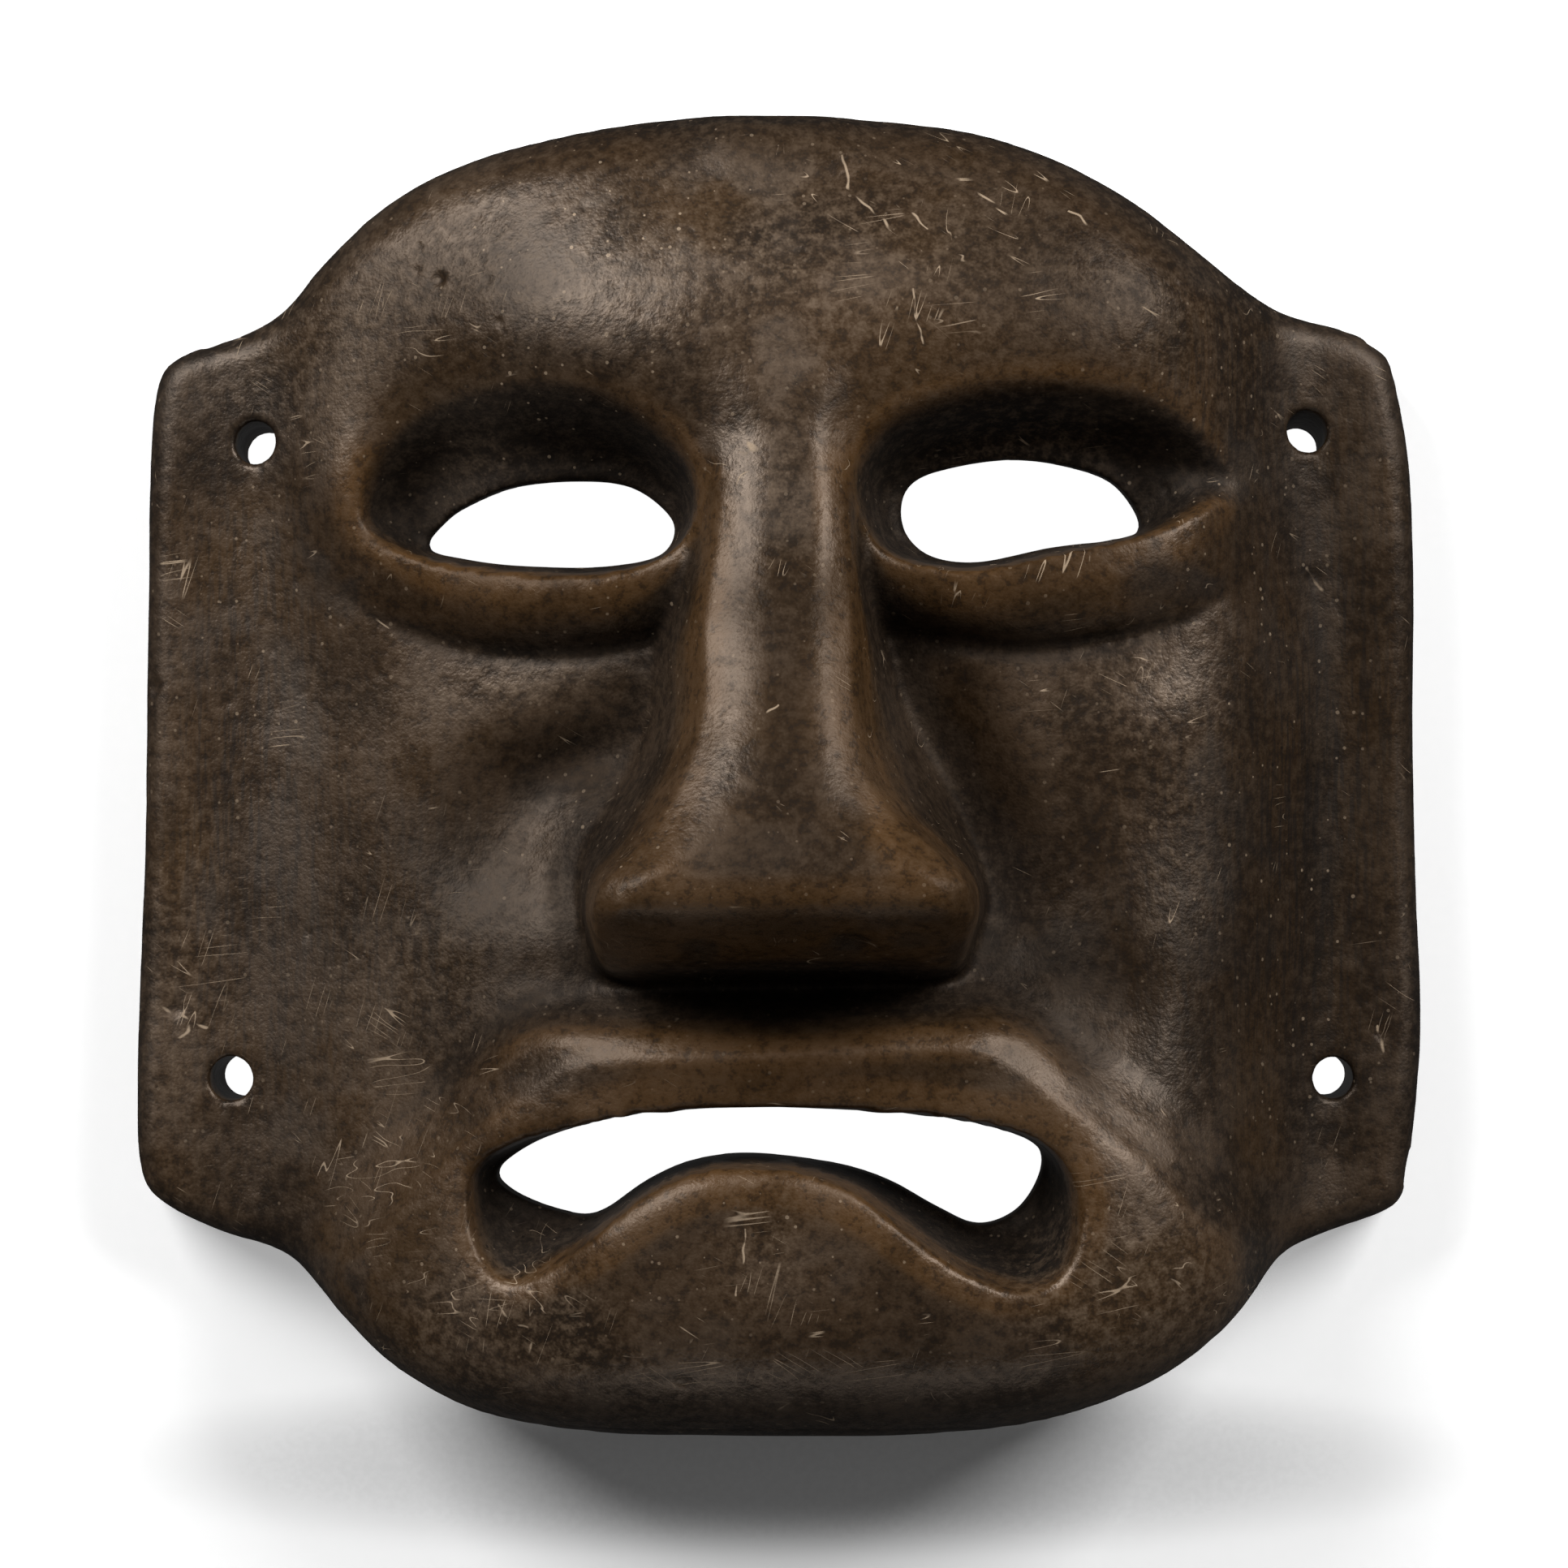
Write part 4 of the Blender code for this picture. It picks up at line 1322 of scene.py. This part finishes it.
    def scratches(self, w: Wiring, place: Socket) -> Socket:
        """All scratches: the named ones, which waver a little, and the hairlines.

        Args:
            w: the material's nodes.
            place: place on the stone.

        Returns:
            Socket of the share of scratch, from 0 to 1.
        """
        bend = w.noise(place, *self.bend_noise).outputs["Color"]
        flat = w.vector("MULTIPLY", place, (1, 1, 0)).outputs[0]
        shift = w.add("VectorMath", operation="SCALE")
        w.feed(shift.inputs[0], w.vector("SUBTRACT", bend, (0.5, 0.5, 0.5)).outputs[0])
        w.feed(shift.inputs["Scale"], self.scratch_bend)
        flat = w.vector("ADD", flat, shift.outputs[0]).outputs[0]
        found = self.hairlines(w, place)
        for scratch in self.named:
            found = w.maths("MAXIMUM", found, scratch.share(w, flat))
        return found

    def roughness(self, w: Wiring, over: Fields, scratches: Socket) -> Socket:
        """Roughness of the stone.

        Args:
            w: the material's nodes.
            over: the shared values.
            scratches: share of scratch.

        Returns:
            The socket of the roughness.
        """
        rough = w.range(over.patch, *self.rough_band)
        for value, share in ((over.grit, self.rough_by_grit),
                             (w.worn(Wear.AMBER), self.rough_by_amber),
                             (w.worn(Wear.CRUST_AND_PAINTED_SHADE), self.rough_by_crust_and_shade),
                             (scratches, self.rough_by_scratch)):
            rough = w.maths("ADD", rough, w.maths("MULTIPLY", value, share))
        return rough

    def gloss(self, w: Wiring, over: Fields) -> Socket:
        """Strength of the shine: less under the painted shade and the crusting, more where the
        stone is polished by rubbing and sheen is painted.

        Args:
            w: the material's nodes.
            over: the shared values.

        Returns:
            The socket of the strength.
        """
        mixed = w.blend(*zip((over.mottle, over.grit), self.gloss_weights))
        gloss = w.range(mixed, *self.gloss_band)
        for kind, change in self.gloss_changes:
            gloss = w.maths("MULTIPLY", gloss, w.range(w.worn(kind), 0, 1, 1, change))
        return gloss

    def material(self) -> bpy.types.Material:
        """Make the material.

        Returns:
            The stone.
        """
        material = bpy.data.materials.new("worn_stone")
        material.use_nodes = True
        w = Wiring(material)
        shader = material.node_tree.nodes["Principled BSDF"]
        over = self.fields(w)
        scratches = self.scratches(w, over.place)
        colour = self.dots(w, over, self.dirt(w, over, self.stone(w, over)))
        colour = w.mix(w.maths("MULTIPLY", scratches, self.scratch_share), colour, self.pale)
        w.feed(shader.inputs["Base Color"], colour)
        w.feed(shader.inputs["Roughness"], self.roughness(w, over, scratches))
        w.feed(shader.inputs["Specular IOR Level"], self.gloss(w, over))
        w.feed(shader.inputs["Specular Tint"], self.gloss_tint)
        height = w.blend(*zip((over.crumb, over.dust), self.bump_weights))
        w.feed(shader.inputs["Normal"], w.bump(height, self.bump_depth))
        return material


# The mask

class Cut(Enum):
    """Ways to join the mask and a block."""

    KEEP_INSIDE = "INTERSECT"
    TAKE_AWAY = "DIFFERENCE"


def mesh_from(form: bmesh.types.BMesh, name: str) -> bpy.types.Mesh:
    """Turn a bmesh into a mesh, with its faces pointing out.

    Args:
        form: the bmesh, which is used up.
        name: name of the mesh.

    Returns:
        The mesh.
    """
    bmesh.ops.recalc_face_normals(form, faces=form.faces[:])
    mesh = bpy.data.meshes.new(name)
    form.to_mesh(mesh)
    form.free()
    return mesh


def show(name: str, mesh: bpy.types.Mesh) -> bpy.types.Object:
    """Put a mesh into the scene.

    Args:
        name: name of the object.
        mesh: its mesh.

    Returns:
        The object.
    """
    thing = bpy.data.objects.new(name, mesh)
    bpy.context.scene.collection.objects.link(thing)
    return thing


def rows_of(values: bpy.types.bpy_prop_collection, name: str) -> Array:
    """Read one vector of each item.

    Args:
        values: the items.
        name: name of the vector.

    Returns:
        One vector per row.
    """
    flat = np.empty(len(values) * 3, np.float32)
    values.foreach_get(name, flat)
    return flat.reshape(-1, 3).astype(float)


def add_tube(form: bmesh.types.BMesh, low: Sequence[Triple], high: Sequence[Triple]) -> None:
    """Add a closed tube between two rings of points.

    Args:
        form: what the tube is added to.
        low: points of the lower ring.
        high: points of the upper ring, as many.
    """
    rings = [[form.verts.new(point) for point in ring] for ring in (low, high)]
    form.faces.new(rings[0])
    form.faces.new(rings[1])
    for i, vertex in enumerate(rings[0]):
        following = (i + 1) % len(low)
        form.faces.new((vertex, rings[0][following], rings[1][following], rings[1][i]))


@dataclass
class Mask:
    """The stone mask: carved face, hollow back, openings, lacing holes and wear."""

    face: Face
    low: Vector
    high: Vector
    spacing: float = 0.0007
    voxel: float = 0.00062
    triangles: int = 193000
    quick_sizes: tuple[float, float, int] = (0.0012, 0.0011, 90000)
    soften_share: float = 0.5
    soften_rounds: int = 3
    margin: float = 0.00005
    overhang: float = 0.001
    below: float = 0.004
    front_band: Band = (-0.3, 0.3)
    rim_band: Band = (0.4, 3.0)
    edge_band: Band = (0.5, 4.0)
    edge_painted_shade: float = 0.6
    hollow_band: Band = (0.10, 0.6)
    hollow_shade_and_dirt: float = 0.65
    inner_band: Band = (2.0, 12.0)
    crest_band: Band = (0.34, 1.10)
    crest_shade: float = 0.35
    scored_more: float = 0.2
    lace_sides: int = 32
    lace_front: float = 0.0061
    lace_back: float = 0.0059
    lace_holes: tuple[tuple[float, float, float, float], ...] = (
        (-75.2, 46.1, 0.0025, 0.0008), (75.0, 47.8, 0.0015, 0.0018),
        (-79.0, -42.6, 0.0028, 0.0), (78.0, -42.5, 0.0007, 0.0))
    weathering: Weathering = field(init=False)

    def __post_init__(self) -> None:
        """Set the weathering up on this face."""
        self.weathering = Weathering(self.face)

    def block(self, name: str, height: Callable[[Array, Array], Array]) -> bpy.types.Object:
        """Make a block whose top is shaped and whose bottom is flat.

        Args:
            name: name of the object.
            height: height of the top at a place.

        Returns:
            The block.
        """
        half_x = self.face.width / 2 + self.overhang
        half_y = self.face.height / 2 + self.overhang
        across = np.linspace(-half_x, half_x, round(2 * half_x / self.spacing) + 1)
        along = np.linspace(-half_y, half_y, round(2 * half_y / self.spacing) + 1)
        x, y = (grid.ravel() for grid in np.meshgrid(across, along))
        top = np.stack([x, y, height(x, y)], 1)
        bottom = np.stack([x, y, np.full(x.shape, -self.below)], 1)
        count, wide, long = len(x), len(across), len(along)
        at = np.arange(count).reshape(long, wide)
        faces = np.stack([at[:-1, :-1], at[:-1, 1:], at[1:, 1:], at[1:, :-1]], -1).reshape(-1, 4)
        ring = np.concatenate([at[0, :-1], at[:-1, -1], at[-1, :0:-1], at[:0:-1, 0]])
        after = np.roll(ring, -1)
        walls = np.stack([ring, ring + count, after + count, after], 1)
        mesh = bpy.data.meshes.new(name)
        mesh.from_pydata(np.vstack([top, bottom]).tolist(), [],
                         np.vstack([faces, faces[:, ::-1] + count, walls]).tolist())
        return show(name, mesh)

    def prism(self, form: bmesh.types.BMesh, line: Array) -> None:
        """Add a straight prism through the whole mask.

        Args:
            form: what the prism is added to.
            line: its closed outline, in metres.
        """
        low, high = -2 * self.below, self.face.relief + self.below
        add_tube(form, *([(px, py, z) for px, py in line] for z in (low, high)))

    def drill(self, form: bmesh.types.BMesh, x: float, y: float, lean: float, sag: float) -> None:
        """Add the bore of a lacing hole, which leans to the middle.

        Args:
            form: what the bore is added to.
            x: place of its front end across, in steps.
            y: place of its front end along, in steps.
            lean: how far its back end stands to the middle, in metres.
            sag: how far its back end stands to the chin, in metres.
        """
        px, py = self.face.to_metres((x, y))
        plate = self.face.plate * MM
        rings = []
        for z in (-self.below, plate + 2 * self.below):
            share = 1 - z / plate
            radius = (self.lace_front + (self.lace_back - self.lace_front) * share) / 2
            middle = px - math.copysign(lean * share, px)
            along = py - sag * share
            turns = np.linspace(0, 2 * math.pi, self.lace_sides + 1)[:-1]
            rings.append([(middle + radius * math.cos(a), along + radius * math.sin(a), z)
                          for a in turns])
        add_tube(form, *rings)

    def cut(self, thing: bpy.types.Object, cutter: bpy.types.Object, how: Cut) -> None:
        """Cut one object with another, which is then removed.

        Args:
            thing: the object that is cut.
            cutter: the object that cuts it.
            how: which part stays.
        """
        boolean = thing.modifiers.new(cutter.name, "BOOLEAN")
        boolean.solver = "MANIFOLD"
        boolean.operation = how.value
        boolean.object = cutter
        self.settle(thing)
        bpy.data.objects.remove(cutter, do_unlink=True)

    def settle(self, thing: bpy.types.Object) -> None:
        """Replace the mesh by what its modifiers make of it.

        Args:
            thing: the object.
        """
        view = bpy.context.evaluated_depsgraph_get()
        mesh = bpy.data.meshes.new_from_object(thing.evaluated_get(view))
        thing.modifiers.clear()
        thing.data = mesh

    def carve(self) -> bpy.types.Object:
        """Carve the mask from its blocks.

        Returns:
            The mask before it is worn.
        """
        mask = self.block("mask", self.face.front)
        form = bmesh.new()
        self.prism(form, self.face.to_metres(self.face.outline.drawn))
        self.cut(mask, show("outline", mesh_from(form, "outline")), Cut.KEEP_INSIDE)
        self.cut(mask, self.block("hollow", self.face.back), Cut.TAKE_AWAY)
        form = bmesh.new()
        for opening in self.face.openings:
            self.prism(form, self.face.to_metres(opening.cut.drawn))
        for hole in self.lace_holes:
            self.drill(form, *hole)
        self.cut(mask, show("openings", mesh_from(form, "openings")), Cut.TAKE_AWAY)
        log.info("carved: %d faces", len(mask.data.polygons))
        return mask

    def resurface(self, mask: bpy.types.Object) -> None:
        """Give the mask an even mesh with softened edges.

        Args:
            mask: the carved mask.
        """
        even = mask.modifiers.new("even", "REMESH")
        even.mode = "VOXEL"
        even.voxel_size = self.voxel
        soften = mask.modifiers.new("soften", "SMOOTH")
        soften.factor = self.soften_share
        soften.iterations = self.soften_rounds
        self.settle(mask)
        log.info("even mesh: %d faces", len(mask.data.polygons))

    def weather(self, mask: bpy.types.Object) -> None:
        """Wear the surface, keep it in its box and set its back on the ground.

        Args:
            mask: the mask with its even mesh.
        """
        mesh = mask.data
        places = self.weathering.wear(rows_of(mesh.vertices, "co"),
                                      rows_of(mesh.vertex_normals, "vector"))
        low, high = np.array(self.low) + self.margin, np.array(self.high) - self.margin
        low[2] = self.low.z
        places = np.clip(places, low, high)
        mesh.vertices.foreach_set("co", places.astype(np.float32).ravel())
        mesh.update()

    def thin(self, mask: bpy.types.Object) -> None:
        """Take out triangles where the surface is plainest.

        Args:
            mask: the worn mask.
        """
        split = mask.modifiers.new("split", "TRIANGULATE")
        split.quad_method = "SHORTEST_DIAGONAL"
        self.settle(mask)
        if len(mask.data.polygons) > self.triangles:
            thin = mask.modifiers.new("thin", "DECIMATE")
            thin.ratio = self.triangles / len(mask.data.polygons)
            self.settle(mask)
        log.info("thinned: %d triangles", len(mask.data.polygons))

    def mark(self, mask: bpy.types.Object) -> None:
        """Write the shares of each kind of wear, painted shade and painted sheen, and the patterns
        on the mesh.

        Args:
            mask: the mask with its final mesh.
        """
        places = rows_of(mask.data.vertices, "co")
        up = rows_of(mask.data.vertex_normals, "vector")[:, 2]
        x, y = self.face.to_steps(places[:, 0], places[:, 1])
        front = ease(*self.front_band, up)
        rise = Relief(self.face).at(places[:, 0], places[:, 1])
        depth = self.face.outline.depth(x, y)
        shares: dict[Wear | Pattern, Array] = {
            kind: covered(regions, x, y) * front for kind, regions in WEAR_AND_PAINTED_LIGHT_REGIONS.items()}
        # Crusting: painted shade inside the socket rims and along the outer edge, and painted shade
        # with dirt in the hollows.
        crust_and_shade = sum(ease(*self.rim_band, opening.rim.depth(x, y))
                    for opening in self.face.openings)
        crust_and_shade = crust_and_shade + self.edge_painted_shade * (1 - ease(*self.edge_band, depth))
        crust_and_shade = crust_and_shade + self.hollow_shade_and_dirt * ease(*self.hollow_band, -rise)
        shares[Wear.CRUST_AND_PAINTED_SHADE] = np.clip(crust_and_shade, 0, 1)
        shares[Wear.CREST] = ease(*self.crest_band, rise) * ease(*self.inner_band, depth) * front
        # Crests also take a share of the painted shade.
        shares[Wear.SHADED] = np.maximum(shares[Wear.SHADED],
                                         self.crest_shade * shares[Wear.CREST])
        shares |= {kind: layers(places, *row) for kind, row in PATTERN_ROWS.items()}
        for kind in SCORE_PATTERNS:
            shares[kind] = shares[kind] + self.scored_more * shares[Wear.SCORED]
        for kind, share in shares.items():
            spot = mask.data.attributes.new(kind.value, "FLOAT", "POINT")
            spot.data.foreach_set("value", share.astype(np.float32))

    def build(self) -> bpy.types.Object:
        """Make the mask and dress it.

        Returns:
            The finished mask.
        """
        mask = self.carve()
        self.resurface(mask)
        self.weather(mask)
        self.thin(mask)
        self.mark(mask)
        mask.name = mask.data.name = "worn_mask"
        mask.data.materials.clear()
        mask.data.materials.append(StoneFinish().material())
        mask.data.shade_smooth()
        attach(mask, "root")
        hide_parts("stone_mask")
        return mask


# The studio

@dataclass(frozen=True)
class Lamp:
    """A soft box light aimed at the mask."""

    name: str
    place: Triple
    size: Point
    power: float
    aim: Triple = (0.0, 0.0, 0.03)

    def build(self) -> bpy.types.Object:
        """Hang the light.

        Returns:
            The light.
        """
        light = bpy.data.lights.new(self.name, "AREA")
        light.shape = "RECTANGLE"
        light.size, light.size_y = self.size
        light.energy = self.power
        lamp = bpy.data.objects.new(self.name, light)
        bpy.context.scene.collection.objects.link(lamp)
        lamp.location = self.place
        way = Vector(self.aim) - Vector(self.place)
        lamp.rotation_euler = way.to_track_quat("-Z", "Y").to_euler()
        return lamp


@dataclass
class Studio:
    """Pale floor, soft lights from the left and the right, and the camera above the face."""

    image_pixels: float = 1932.0
    pixel: float = 0.00011335
    camera_height: float = 1.0
    sharp_height: float = 0.014
    axis_shift: Point = (6.0, -13.0)
    sensor: float = 36.0
    clip: Point = (0.01, 100.0)
    world_light: float = 0.085
    floor_size: float = 3.0
    floor_glow: float = 0.32
    shadow_glow: float = 0.0
    shadow_at: Triple = (0.002, -0.0975, 0.0)
    shadow_half: Triple = (0.064, 0.009, 1.0)
    hole_glow: float = 1.0
    shadow_band: Band = (0.3, 2.8)
    glow_half: Triple = (0.0865, 0.075, 1.0)
    glow_band: Band = (0.84, 1.0)
    paper: tuple[Colour, Colour] = ((0.82, 0.82, 0.82, 1), (0.86, 0.86, 0.86, 1))
    paper_roughness: float = 0.8
    fibre: Triple = (900.0, 4.0, 0.6)
    fibre_band: Band = (0.3, 0.7)
    lamps: tuple[Lamp, ...] = (
        Lamp("left_box", (-0.56, 0.54, 0.55), (0.50, 0.50), 10.0),
        Lamp("right_box", (0.60, 0.50, 0.55), (0.46, 0.46), 9.2),
        Lamp("low_fill", (0.0, -0.95, 0.30), (0.9, 0.3), 0.9))

    def floor(self) -> bpy.types.Object:
        """Lay the floor, which glows white and throws no light on the stone: fully under the mask,
        so the openings read white, and not at all in an oval below the chin, where it paints a
        shadow.

        Returns:
            The floor.
        """
        half = self.floor_size / 2
        mesh = bpy.data.meshes.new("floor")
        mesh.from_pydata([(-half, -half, 0), (half, -half, 0), (half, half, 0), (-half, half, 0)],
                         [], [(0, 1, 2, 3)])
        material = bpy.data.materials.new("white_paper")
        material.use_nodes = True
        w = Wiring(material)
        shader = material.node_tree.nodes["Principled BSDF"]
        place = w.add("TexCoord").outputs["Object"]
        fibre = w.noise(place, *self.fibre).outputs["Fac"]
        w.feed(shader.inputs["Base Color"], w.mix(w.range(fibre, *self.fibre_band), *self.paper))
        shader.inputs["Roughness"].default_value = self.paper_roughness
        shader.inputs["Emission Color"].default_value = (1, 1, 1, 1)
        square = w.vector("DIVIDE", place, self.glow_half).outputs[0]
        square = w.vector("MULTIPLY", square, square).outputs[0]
        far = w.vector("DOT_PRODUCT", square, square).outputs["Value"]
        # Painted shadow: the glow is left out in an oval below the chin.
        off = w.vector("SUBTRACT", place, self.shadow_at).outputs[0]
        off = w.vector("DIVIDE", off, self.shadow_half).outputs[0]
        clear = w.vector("DOT_PRODUCT", off, off).outputs["Value"]
        w.feed(shader.inputs["Emission Strength"],
               w.maths("MAXIMUM",
                       w.range(clear, *self.shadow_band, self.shadow_glow, self.floor_glow),
                       w.range(far, *self.glow_band, self.hole_glow, 0)))
        mesh.materials.append(material)
        floor = show("floor", mesh)
        floor.visible_diffuse = False
        floor.visible_glossy = False
        return floor

    def camera(self) -> bpy.types.Object:
        """Stand the camera over the face.

        Returns:
            The camera.
        """
        lens = bpy.data.cameras.new("camera")
        camera = bpy.data.objects.new("camera", lens)
        bpy.context.scene.collection.objects.link(camera)
        camera.location = (self.axis_shift[0] * self.pixel, self.axis_shift[1] * self.pixel,
                           self.camera_height)
        lens.sensor_width = self.sensor
        lens.lens = (self.sensor * (self.camera_height - self.sharp_height)
                     / (self.image_pixels * self.pixel))
        lens.clip_start, lens.clip_end = self.clip
        bpy.context.scene.camera = camera
        return camera

    def build(self) -> None:
        """Set the studio up."""
        self.floor()
        self.camera()
        for lamp in self.lamps:
            lamp.build()
            log.info("lamp %s", lamp.name)
        world = bpy.data.worlds.new("room")
        world.use_nodes = True
        air = world.node_tree.nodes["Background"]
        air.inputs["Color"].default_value = (1, 1, 1, 1)
        air.inputs["Strength"].default_value = self.world_light
        bpy.context.scene.world = world
        bpy.context.scene.view_settings.view_transform = "Standard"


def main() -> None:
    """Build the studio and the mask, sized to the box of the solid, and log the mask's triangles.
    """
    logging.basicConfig(level=logging.INFO, format="%(message)s")
    Studio().build()
    low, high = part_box("stone_mask")
    size = high - low
    mask = Mask(Face(size.x, size.y, size.z), low, high).build()
    log.info("piece %s: %d triangles", mask.name, len(mask.data.polygons))


if __name__ == "__main__":
    main()
